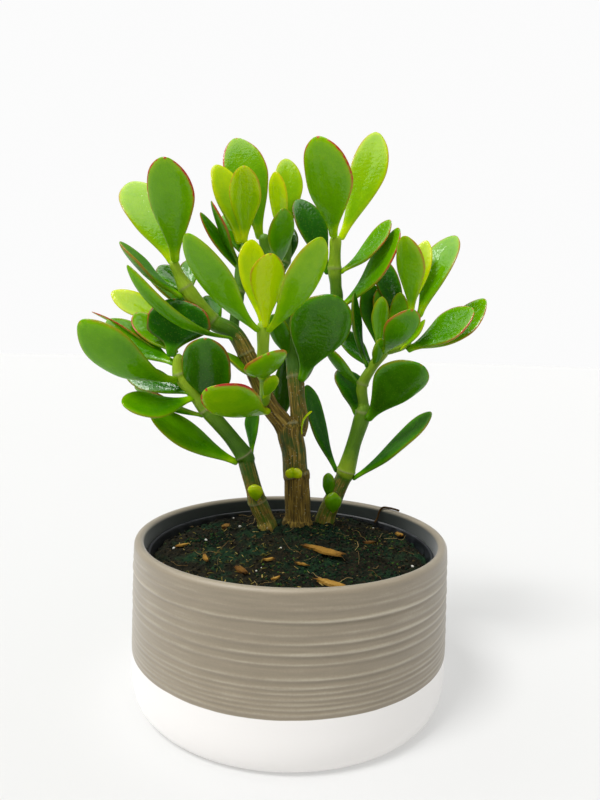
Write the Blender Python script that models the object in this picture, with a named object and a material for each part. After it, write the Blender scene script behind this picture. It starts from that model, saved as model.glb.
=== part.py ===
import math

import bmesh
import bpy
from mathutils import Vector

# Jade plant (Crassula ovata) in a two-colour stoneware cover pot.
# Metres, +Z up, the pot's underside centred on the origin, its front towards -Y.

MM = 0.001
GAP = 0.3 * MM

POT_RIM_RADIUS = 75.0 * MM
POT_BELLY_RADIUS = 76.0 * MM
POT_FOOT_RADIUS = 70.0 * MM
POT_HEIGHT = 76.0 * MM
POT_WALL = 4.6 * MM
POT_FLOOR = 6.0 * MM
POT_SEGMENTS = 48

LINER_RIM_RADIUS = 68.0 * MM
LINER_FOOT_RADIUS = 58.0 * MM
LINER_TOP = 69.0 * MM
LINER_WALL = 1.2 * MM
LINER_FLOOR = 1.5 * MM
LINER_SEGMENTS = 40

SOIL_EDGE_HEIGHT = 66.0 * MM
SOIL_MOUND = 6.5 * MM
SOIL_MOUND_SPREAD = 34.0 * MM
SOIL_MOUND_CENTRE = (2.0 * MM, 27.0 * MM)
SOIL_SEGMENTS = 32

STEM_SIDES = 10
FLAT_FOOTED_STEMS = ("left_stem", "trunk", "right_stem", "left_limb", "middle_limb")
LEAF_SIDES = 8
LEAF_STATIONS = (0.0, 0.07, 0.18, 0.32, 0.47, 0.62, 0.77, 0.89, 0.965)
LEAF_THICKNESS_OF_WIDTH = 0.21
PETIOLE_WIDTH = 3.6 * MM
PETIOLE_THICKNESS = 2.6 * MM
BUD_STAND_OFF = 3 * GAP

BARK = (0.16, 0.09, 0.04)
GREEN_STEM = (0.14, 0.16, 0.05)
OLD_LEAF = (0.10, 0.26, 0.03)
YOUNG_LEAF = (0.30, 0.45, 0.04)

# Each stem: points along its middle as x, y, z, radius, all in millimetres.
STEMS = {
    "left_stem": (
        (-13, 21, 73, 5.4), (-14, 21, 76, 4.8), (-18, 20, 85, 4.9), (-20, 19, 92, 4.3),
        (-25, 17, 110, 4.5), (-33, 15, 121, 3.8), (-44, 12, 134, 4.0), (-50, 10, 142, 3.3),
        (-57, 9, 151, 3.4), (-58, 9, 158, 2.8), (-57, 10, 163, 2.9),
    ),
    "trunk": (
        (3, 28, 73, 8.2), (3, 28, 77, 7.0), (2, 27, 95, 6.6), (2, 27, 98, 7.1),
        (1, 27, 101, 6.6), (0, 26, 112, 6.5), (-2, 25, 121, 6.8), (-2, 25, 127, 7.6),
    ),
    "left_limb": (
        (-6.7, 24.6, 127.6, 4.2), (-13, 22, 135.5, 4.7), (-19, 21, 148, 4.3), (-25, 20, 162, 4.5),
        (-32, 20, 173, 4.2), (-42, 18, 178, 4.4), (-49, 16, 186, 3.8), (-55, 14, 194, 4.0),
        (-59, 13, 201, 2.7), (-62, 12, 208, 2.6),
    ),
    "middle_limb": (
        (2.6, 26.8, 127.6, 4.2), (1, 27, 140, 4.1), (0, 27, 150, 4.5), (-2, 30, 162, 3.9),
        (-6, 34, 185, 3.8), (-12, 37, 208, 4.0), (-17, 38, 217, 3.2), (-19, 38, 226, 3.0),
    ),
    "front_shoot": (
        (-15, 14, 142, 2.8), (-15, 11, 150, 2.9), (-16, 8, 154, 3.4), (-16, 5, 166, 2.9),
        (-16, 3, 176, 3.3), (-16, 2, 179, 2.6),
    ),
    "inner_twig": (
        (-32, 23, 179, 2.6), (-30, 24, 193, 2.9), (-30, 26, 205, 2.5), (-28, 28, 214, 2.8),
        (-27, 29, 220, 2.6),
    ),
    "crown_twig": (
        (-7, 39.5, 210.5, 2.4), (-6, 38, 218, 2.3), (-7, 38, 228, 2.6),
    ),
    "back_right_limb": (
        (6, 31, 155, 3.0), (12, 33, 172, 3.4), (20, 34, 190, 3.7), (20, 33, 199, 3.1),
        (19, 32, 207, 3.5), (19, 31, 216, 2.9), (19, 31, 225, 3.1),
    ),
    "right_stem": (
        (18, 34, 72.5, 5.4), (19, 34, 77, 5.0), (21, 33, 82, 5.0), (24, 32, 90, 4.3),
        (28, 31, 100, 4.5), (32, 30, 116, 3.9), (36, 28, 132, 4.2), (36, 28, 138, 2.6),
        (35, 27, 147, 2.8), (40, 27, 157, 2.4), (46, 27, 166, 3.0), (47, 27, 170, 2.3),
    ),
    "right_twig": (
        (50, 26, 166.5, 2.3), (56, 25, 170, 2.7), (59, 24, 178, 2.3), (61, 24, 186, 2.7),
    ),
}

# Each leaf: the stem it grows on, which point of that stem, where its tip is in
# millimetres, its width, its turn about its own length in degrees, and how far the
# middle stands above (or, negative, sags below) a straight line from base to tip.
LEAVES = {
    "leaf_low_left_1": ("left_stem", 4, (-72, 8, 133), 19, -40, -2),
    "leaf_low_left_2": ("left_stem", 4, (-22, 31, 136), 12, -50, 0),
    "leaf_low_left_3": ("left_stem", 6, (-42, -9, 170), 24, -5, 2),
    "leaf_low_left_4": ("left_stem", 6, (-82, 18, 144), 15, 30, -2),
    "leaf_low_left_5": ("left_stem", 7, (-78, -19, 139), 19, -35, -3),
    "leaf_left_1": ("left_stem", 8, (-97, -20, 176), 24, 40, -6),
    "leaf_left_2": ("left_stem", 10, (-61, 12, 189), 26, 0, -1),
    "leaf_left_3": ("left_stem", 9, (-96, 19, 178), 19, -40, -3),
    "leaf_left_4": ("left_stem", 10, (-83, 24, 182), 16, -25, -2),
    "leaf_upper_left_1": ("left_limb", 9, (-58, -25, 247), 22, -10, 2),
    "leaf_upper_left_2": ("left_limb", 9, (-88, 34, 250), 22, -35, 3),
    "leaf_upper_left_3": ("left_limb", 7, (-84, -2, 214), 19, -25, -2),
    "leaf_upper_left_4": ("left_limb", 5, (-77, 19, 203), 14, -25, -2),
    "leaf_upper_left_5": ("left_limb", 7, (-68, 56, 208), 13, -20, -1),
    "leaf_upper_left_6": ("left_limb", 4, (-80, -4, 203), 13, 40, -11),
    "leaf_front_1": ("front_shoot", 4, (-46, -38, 213), 20, 5, -4),
    "leaf_front_2": ("front_shoot", 5, (-23, 14, 219), 17, 0, 0),
    "leaf_front_3": ("front_shoot", 5, (-12, -20, 208), 16, 5, 2),
    "leaf_front_4": ("front_shoot", 4, (10, -30, 214), 20, 0, -4),
    "leaf_front_5": ("front_shoot", 2, (-12, -25, 164), 21, 22, -1),
    "leaf_middle_1": ("left_limb", 1, (-40, -20, 147), 24, 35, -3),
    "leaf_middle_2": ("middle_limb", 2, (18, 2, 192), 31, -25, 2),
    "leaf_crown_1": ("middle_limb", 7, (-35, 46, 277), 24, -55, 3),
    "leaf_crown_2": ("inner_twig", 4, (-43, 31, 259), 20, -35, 2),
    "leaf_crown_3": ("inner_twig", 4, (-27, 9, 253), 16, -5, 2),
    "leaf_crown_4": ("crown_twig", 2, (-8, 50, 268), 16, 0, 2),
    "leaf_crown_5": ("back_right_limb", 6, (8, -3, 264), 25, -6, -3),
    "leaf_crown_6": ("back_right_limb", 6, (41, 50, 283), 19, 50, 3),
    "leaf_crown_7": ("back_right_limb", 4, (46, 20, 231), 16, 40, -3),
    "leaf_crown_8": ("back_right_limb", 2, (50, 18, 227), 19, 40, -4),
    "leaf_crown_9": ("back_right_limb", 4, (-1, 42, 245), 18, -40, 2),
    "leaf_crown_10": ("middle_limb", 5, (-8, 3, 232), 15, 30, -2),
    "leaf_right_1": ("right_stem", 4, (6, 39, 146), 16, -15, -2),
    "leaf_right_2": ("right_stem", 4, (70, 17, 135), 16, 30, -2),
    "leaf_right_3": ("right_stem", 6, (60, -3, 160), 26, -35, 3),
    "leaf_right_4": ("right_stem", 9, (29, 22, 195), 15, -50, -2),
    "leaf_right_5": ("right_stem", 6, (25, 44, 155), 19, 0, 2),
    "leaf_right_6": ("right_stem", 10, (43, 20, 193), 9, -10, 1),
    "leaf_right_7": ("right_stem", 10, (55, 0, 186), 18, -5, -2),
    "leaf_right_8": ("right_twig", 1, (89, 18, 188), 20, 45, -2),
    "leaf_right_9": ("right_twig", 1, (99, 33, 194), 19, 35, -8),
    "leaf_right_10": ("right_twig", 3, (51, 4, 221), 16, -15, 2),
    "leaf_right_11": ("right_twig", 3, (82, 36, 227), 19, 30, 2),
    "leaf_right_12": ("right_twig", 3, (66, 29, 223), 12, 0, 1),
}

# Each bud: the stem, the point of it, the way it faces, and its width in millimetres.
BUDS = {
    "left_bud": ("left_stem", 3, (0.1, -1.0, 0.3), 8.5),
    "trunk_bud": ("trunk", 4, (-0.1, -1.0, 0.3), 9.5),
    "right_bud": ("right_stem", 3, (-1.0, -0.2, 0.7), 11.0),
}


def material(name, colour, roughness, coat=0.0):
    made = bpy.data.materials.new(name)
    made.use_nodes = True
    shader = made.node_tree.nodes["Principled BSDF"]
    shader.inputs["Base Color"].default_value = (*colour, 1.0)
    shader.inputs["Roughness"].default_value = roughness
    shader.inputs["Coat Weight"].default_value = coat
    made.diffuse_color = (*colour, 1.0)
    return made


def finish(name, mesh_data, paint, location=(0, 0, 0), rotation=(0, 0, 0)):
    mesh = bpy.data.meshes.new(name)
    mesh_data.normal_update()
    bmesh.ops.recalc_face_normals(mesh_data, faces=mesh_data.faces[:])
    mesh_data.to_mesh(mesh)
    mesh_data.free()
    mesh.materials.append(paint)
    made = bpy.data.objects.new(name, mesh)
    made.location = location
    made.rotation_euler = rotation
    bpy.context.scene.collection.objects.link(made)
    return made


def turned(outline, segments):
    """A closed body of revolution; the outline starts and ends on the axis."""
    body = bmesh.new()
    rings = []
    for radius, height in outline:
        if radius == 0:
            rings.append([body.verts.new((0, 0, height))])
            continue
        ring = []
        for step in range(segments):
            angle = 2 * math.pi * step / segments
            ring.append(body.verts.new((radius * math.cos(angle), radius * math.sin(angle), height)))
        rings.append(ring)
    for lower, upper in zip(rings, rings[1:]):
        for step in range(segments):
            after = (step + 1) % segments
            if len(lower) == 1:
                body.faces.new((lower[0], upper[after], upper[step]))
            elif len(upper) == 1:
                body.faces.new((lower[step], lower[after], upper[0]))
            else:
                body.faces.new((lower[step], lower[after], upper[after], upper[step]))
    return body


def sleeve(rings, tip=None):
    """A closed body through matching rings, capped flat or run out to a tip."""
    body = bmesh.new()
    loops = [[body.verts.new(point) for point in ring] for ring in rings]
    for lower, upper in zip(loops, loops[1:]):
        for step in range(len(lower)):
            after = (step + 1) % len(lower)
            body.faces.new((lower[step], lower[after], upper[after], upper[step]))
    body.faces.new(list(reversed(loops[0])))
    if tip is None:
        body.faces.new(loops[-1])
    else:
        point = body.verts.new(tip)
        for step in range(len(loops[-1])):
            after = (step + 1) % len(loops[-1])
            body.faces.new((loops[-1][step], loops[-1][after], point))
    return body


def build_pot():
    inner = POT_RIM_RADIUS - POT_WALL
    outline = (
        (0, 0),
        (POT_FOOT_RADIUS, 0),
        (POT_FOOT_RADIUS + 2.2 * MM, 1.4 * MM),
        (POT_BELLY_RADIUS - 2.2 * MM, 4.6 * MM),
        (POT_BELLY_RADIUS - 0.6 * MM, 9.0 * MM),
        (POT_BELLY_RADIUS, 14.0 * MM),
        (POT_BELLY_RADIUS, 24.0 * MM),
        (POT_RIM_RADIUS + 0.2 * MM, POT_HEIGHT - 8.0 * MM),
        (POT_RIM_RADIUS, POT_HEIGHT - 2.2 * MM),
        (POT_RIM_RADIUS - 0.8 * MM, POT_HEIGHT - 0.6 * MM),
        (POT_RIM_RADIUS - 2.3 * MM, POT_HEIGHT),
        (inner + 0.8 * MM, POT_HEIGHT - 0.6 * MM),
        (inner, POT_HEIGHT - 2.4 * MM),
        (inner, POT_FLOOR + 4.0 * MM),
        (inner - 4.0 * MM, POT_FLOOR),
        (0, POT_FLOOR),
    )
    return finish("pot", turned(outline, POT_SEGMENTS), material("stoneware", (0.34, 0.29, 0.22), 0.6))


def liner_radius(height):
    share = (height - POT_FLOOR) / (LINER_TOP - POT_FLOOR)
    return LINER_FOOT_RADIUS + (LINER_RIM_RADIUS - LINER_FOOT_RADIUS) * share


def build_liner():
    foot = POT_FLOOR + GAP
    outline = (
        (0, foot),
        (LINER_FOOT_RADIUS, foot),
        (LINER_RIM_RADIUS - 0.3 * MM, LINER_TOP - 4.0 * MM),
        (LINER_RIM_RADIUS + 1.2 * MM, LINER_TOP - 4.0 * MM),
        (LINER_RIM_RADIUS + 1.2 * MM, LINER_TOP),
        (LINER_RIM_RADIUS - LINER_WALL, LINER_TOP),
        (LINER_FOOT_RADIUS - LINER_WALL, foot + LINER_FLOOR),
        (0, foot + LINER_FLOOR),
    )
    return finish("grow_pot", turned(outline, LINER_SEGMENTS), material("black_plastic", (0.02, 0.02, 0.02), 0.5))


def soil_height(x, y):
    spread = math.hypot(x - SOIL_MOUND_CENTRE[0], y - SOIL_MOUND_CENTRE[1]) / SOIL_MOUND_SPREAD
    return SOIL_EDGE_HEIGHT + SOIL_MOUND / (1 + spread ** 4)


def build_soil():
    foot = POT_FLOOR + GAP + LINER_FLOOR + GAP
    body = bmesh.new()
    foot_radius = liner_radius(foot) - LINER_WALL - 2 * GAP
    top_radius = liner_radius(SOIL_EDGE_HEIGHT) - LINER_WALL - 3 * GAP
    shares = (1.0, 0.86, 0.72, 0.58, 0.44, 0.3, 0.15)
    bottom = []
    rings = [[] for _ in shares]
    for step in range(SOIL_SEGMENTS):
        angle = 2 * math.pi * step / SOIL_SEGMENTS
        across, along = math.cos(angle), math.sin(angle)
        bottom.append(body.verts.new((foot_radius * across, foot_radius * along, foot)))
        for ring, share in zip(rings, shares):
            x, y = top_radius * share * across, top_radius * share * along
            height = SOIL_EDGE_HEIGHT if share == 1.0 else soil_height(x, y)
            ring.append(body.verts.new((x, y, height)))
    middle = body.verts.new((0, 0, soil_height(0, 0)))
    body.faces.new(list(reversed(bottom)))
    loops = [bottom] + rings
    for lower, upper in zip(loops, loops[1:]):
        for step in range(SOIL_SEGMENTS):
            after = (step + 1) % SOIL_SEGMENTS
            body.faces.new((lower[step], lower[after], upper[after], upper[step]))
    for step in range(SOIL_SEGMENTS):
        body.faces.new((rings[-1][step], rings[-1][(step + 1) % SOIL_SEGMENTS], middle))
    return finish("soil", body, material("potting_soil", (0.03, 0.02, 0.012), 0.95))


def stem_points(name):
    return [Vector(point[:3]) * MM for point in STEMS[name]]


def stem_direction(points, index):
    before = points[max(index - 1, 0)]
    after = points[min(index + 1, len(points) - 1)]
    return (after - before).normalized()


def build_stem(name, paint):
    points = stem_points(name)
    rings = []
    across = Vector((1, 0, 0))
    for index, point in enumerate(points):
        along = stem_direction(points, index)
        if index == 0 and name in FLAT_FOOTED_STEMS:
            along = Vector((0, 0, 1))
        across = (across - along * across.dot(along)).normalized()
        up = along.cross(across)
        radius = STEMS[name][index][3] * MM
        ring = []
        for step in range(STEM_SIDES):
            angle = 2 * math.pi * step / STEM_SIDES
            ring.append(point + across * radius * math.cos(angle) + up * radius * math.sin(angle))
        rings.append(ring)
    return finish(name, sleeve(rings), paint)


def leaf_share(station):
    """Half width of the blade as a share of its greatest half width."""
    widest = 0.62
    rise, fall = 1.2, 0.72
    peak = widest ** rise * (1 - widest) ** fall
    return station ** rise * (1 - station) ** fall / peak


def build_leaf(name, paint):
    stem, index, tip, width, roll, bow = LEAVES[name]
    points = stem_points(stem)
    node = points[index]
    along = stem_direction(points, index)
    reach = Vector(tip) * MM - node
    outward = (reach - along * reach.dot(along)).normalized()
    lean = abs(reach.normalized().dot(along))
    stand_off = STEMS[stem][index][3] * MM + GAP + 0.2 * MM + 0.5 * PETIOLE_THICKNESS * lean
    base = node + outward * stand_off
    chord = Vector(tip) * MM - base
    length = chord.length
    turn = math.atan2(chord.y, chord.x)
    climb = math.asin(chord.z / length)
    width = width * MM
    thickness = width * LEAF_THICKNESS_OF_WIDTH
    rings = []
    for station in LEAF_STATIONS:
        share = leaf_share(station)
        half_width = max(0.5 * width * share, 0.5 * PETIOLE_WIDTH * (1 - station) ** 2)
        half_thick = 0.5 * PETIOLE_THICKNESS * (1 - station) + 0.5 * (thickness - PETIOLE_THICKNESS * 0.4) * share
        middle = bow * MM * 4 * station * (1 - station)
        ring = []
        for step in range(LEAF_SIDES):
            angle = 2 * math.pi * step / LEAF_SIDES
            side = half_width * math.cos(angle)
            cup = 0.07 * width * share * math.cos(angle) ** 2
            ring.append((length * station, side, middle + cup + half_thick * math.sin(angle)))
        rings.append(ring)
    body = sleeve(rings, (length, 0, 0))
    return finish(name, body, paint, base, (math.radians(roll), -climb, turn))


def build_bud(name, paint):
    stem, index, facing, width = BUDS[name]
    points = stem_points(stem)
    along = stem_direction(points, index)
    outward = Vector(facing)
    outward = (outward - along * outward.dot(along)).normalized()
    base = points[index] + outward * (STEMS[stem][index][3] * MM + BUD_STAND_OFF)
    half = 0.5 * width * MM
    side = along.cross(outward)
    rings = []
    for depth, share in ((0.0, 0.8), (0.35, 1.0), (0.75, 0.75)):
        ring = []
        for step in range(LEAF_SIDES):
            angle = 2 * math.pi * step / LEAF_SIDES
            swell = side * half * share * math.cos(angle) + along * half * 0.8 * share * math.sin(angle)
            ring.append(outward * half * depth + along * half * 0.5 * depth + swell)
        rings.append(ring)
    tip = outward * half + along * half * 0.7
    return finish(name, sleeve(rings, tip), paint, base)


def build():
    for old in list(bpy.data.objects):
        bpy.data.objects.remove(old, do_unlink=True)
    build_pot()
    build_liner()
    build_soil()
    for name in STEMS:
        woody = name in ("trunk", "left_limb", "middle_limb")
        build_stem(name, material(name, BARK if woody else GREEN_STEM, 0.75))
    for name in LEAVES:
        young = name.startswith("leaf_front")
        build_leaf(name, material(name, YOUNG_LEAF if young else OLD_LEAF, 0.3, 0.3))
    for name in BUDS:
        build_bud(name, material(name, YOUNG_LEAF, 0.3, 0.3))


build()
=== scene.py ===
import math
import random

import bpy
import numpy as np
from mathutils import Euler, Matrix, Vector, noise


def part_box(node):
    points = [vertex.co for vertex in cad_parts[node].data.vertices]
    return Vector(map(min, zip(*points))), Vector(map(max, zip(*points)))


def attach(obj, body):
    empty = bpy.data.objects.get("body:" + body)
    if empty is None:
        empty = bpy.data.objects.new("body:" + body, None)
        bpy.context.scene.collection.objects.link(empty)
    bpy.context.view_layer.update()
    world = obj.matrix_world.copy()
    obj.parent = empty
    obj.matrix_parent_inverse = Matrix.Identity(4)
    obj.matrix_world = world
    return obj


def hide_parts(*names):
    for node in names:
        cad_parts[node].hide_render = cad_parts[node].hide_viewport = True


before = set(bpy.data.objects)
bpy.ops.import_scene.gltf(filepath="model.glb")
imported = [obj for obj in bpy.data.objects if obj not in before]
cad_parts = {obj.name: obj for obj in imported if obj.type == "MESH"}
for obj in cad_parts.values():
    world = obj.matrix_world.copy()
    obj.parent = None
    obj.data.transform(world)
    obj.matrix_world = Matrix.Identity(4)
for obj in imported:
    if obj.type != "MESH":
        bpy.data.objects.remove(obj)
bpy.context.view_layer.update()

mm = 0.001
weldGap = 0.01 * mm              # points closer than this are one point


# Colours are given as sRGB hex and turned to linear here, once.
def linear(hexCode):
    channels = []
    for start in (1, 3, 5):
        value = int(hexCode[start:start + 2], 16) / 255
        channels.append(value / 12.92 if value <= 0.04045 else ((value + 0.055) / 1.055) ** 2.4)
    return (*channels, 1.0)


# Gives a node its inputs: a colour as hex, a plain value, a socket, or a node, by its first live output.
def setInputs(tree, node, inputs):
    for key, value in inputs.items():
        if isinstance(value, bpy.types.Node):
            value = next(socket for socket in value.outputs if socket.enabled)
        if isinstance(value, bpy.types.NodeSocket):
            tree.links.new(value, node.inputs[key])
        else:
            node.inputs[key].default_value = linear(value) if isinstance(value, str) else value


# Adds a node. Settings are its own values, and "stops" fills a ramp.
def addNode(tree, kind, settings=None, inputs=None):
    node = tree.nodes.new("ShaderNode" + kind)
    for key, value in (settings or {}).items():
        if key == "stops":
            elements = node.color_ramp.elements
            elements.remove(elements[1])
            for index, (place, colour) in enumerate(value):
                element = elements[0] if index == 0 else elements.new(place)
                element.position = place
                element.color = linear(colour)
        else:
            setattr(node, key, value)
    setInputs(tree, node, inputs or {})
    return node


# Settings that many nodes share.
multiplyAdd = {"operation": "MULTIPLY_ADD"}
multiply = {"operation": "MULTIPLY"}
add = {"operation": "ADD"}
colourMix = {"data_type": "RGBA"}
valueMix = {"data_type": "FLOAT"}
eased = {"interpolation_type": "SMOOTHSTEP"}


def startMaterial(name, shaderValues):
    material = bpy.data.materials.new(name)
    material.use_nodes = True
    tree = material.node_tree
    shader = tree.nodes["Principled BSDF"]
    setInputs(tree, shader, shaderValues)
    return material, tree, shader


def deselectAll():
    if bpy.context.object and bpy.context.object.mode != "OBJECT":
        bpy.ops.object.mode_set(mode="OBJECT")
    bpy.ops.object.select_all(action="DESELECT")


def selectOnly(piece):
    deselectAll()
    piece.select_set(True)
    bpy.context.view_layer.objects.active = piece


def applyModifier(piece, kind, **settings):
    selectOnly(piece)
    modifier = piece.modifiers.new(kind.title(), kind)
    for key, value in settings.items():
        setattr(modifier, key, value)
    bpy.ops.object.modifier_apply(modifier=modifier.name)


def editAll():
    bpy.ops.object.mode_set(mode="EDIT")
    bpy.ops.mesh.select_all(action="SELECT")


def selectOpenEdges():
    bpy.ops.mesh.select_all(action="DESELECT")
    bpy.ops.mesh.select_mode(type="EDGE")
    bpy.ops.mesh.select_non_manifold()


# Turns every face outwards and leaves edit mode.
def finishEdit():
    bpy.ops.mesh.select_all(action="SELECT")
    bpy.ops.mesh.normals_make_consistent(inside=False)
    bpy.ops.object.mode_set(mode="OBJECT")


def joinPieces(pieces):
    deselectAll()
    for piece in pieces:
        piece.select_set(True)
    bpy.context.view_layer.objects.active = pieces[0]
    if len(pieces) > 1:
        bpy.ops.object.join()
    return pieces[0]


def readPoints(mesh):
    points = np.empty(len(mesh.vertices) * 3)
    mesh.vertices.foreach_get("co", points)
    return points.reshape(-1, 3)


def writePoints(mesh, points):
    mesh.vertices.foreach_set("co", np.asarray(points, dtype=np.float64).ravel())
    mesh.update()


def storeValues(mesh, name, values):
    layer = mesh.attributes.new(name, "FLOAT", "POINT")
    layer.data.foreach_set("value", np.asarray(values, dtype=np.float32))


def storeVectors(mesh, name, values):
    layer = mesh.attributes.new(name, "FLOAT_VECTOR", "POINT")
    layer.data.foreach_set("vector", np.asarray(values, dtype=np.float32).ravel())


def setPiece(piece, name, material, nodes=()):
    piece.name = name
    piece.data.name = name
    piece.data.materials.clear()
    piece.data.materials.append(material)
    piece.data.shade_smooth()
    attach(piece, "root")
    if nodes:
        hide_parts(*nodes)


def smoothStep(low, high, values):
    share = np.clip((np.asarray(values) - low) / (high - low), 0, 1)
    return share * share * (3 - 2 * share)


def loosePiece(name, points, faces):
    mesh = bpy.data.meshes.new(name)
    mesh.from_pydata([tuple(p) for p in points], [], faces)
    piece = bpy.data.objects.new(name, mesh)
    bpy.context.scene.collection.objects.link(piece)
    return piece


# Living jade leaf: waxy, thick skin over wet flesh, so it takes a soft bright sheen and the
# colour stays rich. Older leaves are deep green, new ones yellow-green, sunned edges red; leaves
# that sit in shade are also set deeper green, as painted shade.
leafLook = {
    "greens": ((0.0, "#0f3802"), (0.2, "#1f5a02"), (0.4, "#428600"), (0.6, "#6ba800"),
               (0.8, "#9ac600"), (1.0, "#d2e400")),
    "red": "#bb3328",
    "paleDot": "#b4d23c",
    "dotSpacing": 1.1 * mm,      # real leaf pores are finer; drawn this coarse so that they show
    "mottleSize": 7 * mm,
    "redEdgeWidth": 1.15,        # millimetres in from the margin
}


def makeLeafMaterial():
    look = leafLook
    material, tree, shader = startMaterial("jade leaf, waxy skin", {
        "Roughness": 0.36, "IOR": 1.42, "Specular IOR Level": 0.0, "Coat Weight": 0.45,
        "Coat Roughness": 0.12, "Subsurface Weight": 0.1, "Subsurface Scale": 0.002,
        "Subsurface Radius": (0.6, 1.0, 0.15)})
    place = addNode(tree, "TexCoord").outputs["Object"]
    values = {name: addNode(tree, "Attribute", {"attribute_name": name}).outputs["Fac"]
              for name in ("tone", "blush", "along", "upper", "edgeGap")}
    mottle = addNode(tree, "TexNoise", {}, {
        "Vector": place, "Scale": 1 / look["mottleSize"], "Detail": 4.0, "Roughness": 0.6})
    fine = addNode(tree, "TexNoise", {}, {
        "Vector": place, "Scale": 4 / look["mottleSize"], "Detail": 2.0})
    dots = addNode(tree, "TexVoronoi", {}, {"Vector": place, "Scale": 1 / look["dotSpacing"]})
    # New growth is yellower towards its tip. The margin is made yellower too: painted light, the glow where
    # light shines through the thin edge.
    alongShift = addNode(tree, "Math", multiplyAdd, {0: values["along"], 1: 0.16, 2: values["tone"]})
    mottleShift = addNode(tree, "Math", multiplyAdd, {0: mottle, 1: 0.2, 2: alongShift})
    paintedRimLight = addNode(tree, "MapRange", {}, {
        "Value": values["edgeGap"], "From Min": 0.3, "From Max": 3.0, "To Min": 0.13, "To Max": 0.0})
    withEdge = addNode(tree, "Math", add, {0: mottleShift, 1: paintedRimLight})
    # The stalk, where a pair of leaves clasps the stem, is the palest part.
    stalkGlow = addNode(tree, "MapRange", {}, {
        "Value": values["along"], "From Min": 0.03, "From Max": 0.16, "To Min": 0.1, "To Max": -0.17})
    shift = addNode(tree, "Math", add, {0: withEdge, 1: stalkGlow})
    green = addNode(tree, "ValToRGB", {"stops": look["greens"]}, {"Fac": shift})
    dotShare = addNode(tree, "MapRange", {}, {
        "Value": dots, "From Min": 0.0, "From Max": 0.34, "To Min": 0.13, "To Max": 0.0})
    dotted = addNode(tree, "Mix", colourMix, {0: dotShare, 6: green, 7: look["paleDot"]})
    # The underside is a little paler and greyer than the face.
    under = addNode(tree, "MapRange", {}, {
        "Value": values["upper"], "From Min": 0.0, "From Max": 0.5, "To Min": 0.07, "To Max": 0.0})
    sided = addNode(tree, "Mix", colourMix, {0: under, 6: dotted, 7: "#86ac24"})
    redBand = addNode(tree, "MapRange", eased, {
        "Value": values["edgeGap"], "From Min": 0.2, "From Max": look["redEdgeWidth"],
        "To Min": 1.0, "To Max": 0.0})
    redPatchy = addNode(tree, "MapRange", {}, {
        "Value": fine, "From Min": 0.3, "From Max": 0.6, "To Min": 0.45, "To Max": 1.0})
    redUpper = addNode(tree, "MapRange", {}, {
        "Value": values["along"], "From Min": 0.3, "From Max": 0.7, "To Min": 0.2, "To Max": 1.15})
    redShare = addNode(tree, "Math", multiply, {0: redBand, 1: redPatchy})
    redAlong = addNode(tree, "Math", multiply, {0: redShare, 1: redUpper})
    redFull = addNode(tree, "Math", multiply, {0: redAlong, 1: values["blush"]})
    edged = addNode(tree, "Mix", colourMix, {0: redFull, 6: sided, 7: look["red"]})
    setInputs(tree, shader, {"Base Color": edged})
    gloss = addNode(tree, "MapRange", {}, {
        "Value": mottle, "From Min": 0.3, "From Max": 0.7, "To Min": 0.3, "To Max": 0.44})
    setInputs(tree, shader, {"Roughness": gloss})
    pores = addNode(tree, "Bump", {}, {"Height": dots, "Strength": 0.22, "Distance": 0.12 * mm})
    waves = addNode(tree, "Bump", {}, {
        "Height": fine, "Strength": 0.45, "Distance": 0.5 * mm, "Normal": pores})
    setInputs(tree, shader, {"Normal": waves, "Coat Normal": waves})
    return material


# Each ring of the leaf blank: share of the length, of the widest width, of the thickest part.
leafBlank = {
    "sides": 12,
    "rings": ((0.0, 0.21, 0.62), (0.07, 0.20, 0.62), (0.15, 0.27, 0.68), (0.27, 0.48, 0.84),
              (0.40, 0.75, 1.0), (0.53, 0.95, 1.0), (0.64, 1.03, 0.95), (0.75, 0.97, 0.86),
              (0.86, 0.79, 0.72), (0.935, 0.53, 0.52), (0.985, 0.24, 0.3)),
    "smoothing": 2,
}

# What every leaf shares. Lengths are in millimetres, shares are of the leaf's own length or width.
leafForm = {
    "stalkWidth": 4.8, "thicknessOfWidth": 0.21,
    "upperShare": 0.86, "lowerShare": 1.14,      # the upper face is flatter than the lower one
    "wander": 0.09, "wanderRate": 3.1,           # how much and how often the margin wanders
    "ripple": 0.35, "rippleRate": 7,             # a slow wave along each side
    "foldWidth": 0.075, "underFold": 0.15,       # the crease down the middle, and its trace below
    "fullAt": 0.3, "fullReach": 0.2,             # where a full leaf swells near its stalk
}

# The look of a leaf that says nothing else. Tone runs from deep green 0 to yellow-green 1: partly
# the leaf's own age and partly painted shade, lower for leaves that sit in the shade of others.
# Blush is the strength of the red edge. Broad and full widen all of the leaf or its lower part,
# blunt widens its tip, turn rolls it in degrees about its length, twist winds it, sway bends it
# sideways, cup lifts its sides, fold is the crease, and reach is how far its stalk runs on into
# the stem. Seed gives each leaf its own margin.
plainLook = {"tone": 0.5, "blush": 0.5, "broad": 1.0, "full": 0.0, "blunt": 0.0, "turn": 0.0,
             "twist": 0.0, "sway": 0.0, "cup": 0.07, "fold": 0.2, "reach": 2.4, "seed": 0.0}

# How a CAD leaf is made: its sides, the depth of its end rings, and the shares of its length
# where it is widest and where its bow is read.
cadLeaf = {"sides": 8, "endReach": 0.7 * mm, "widestAt": 0.62, "bowAt": 0.47}


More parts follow.
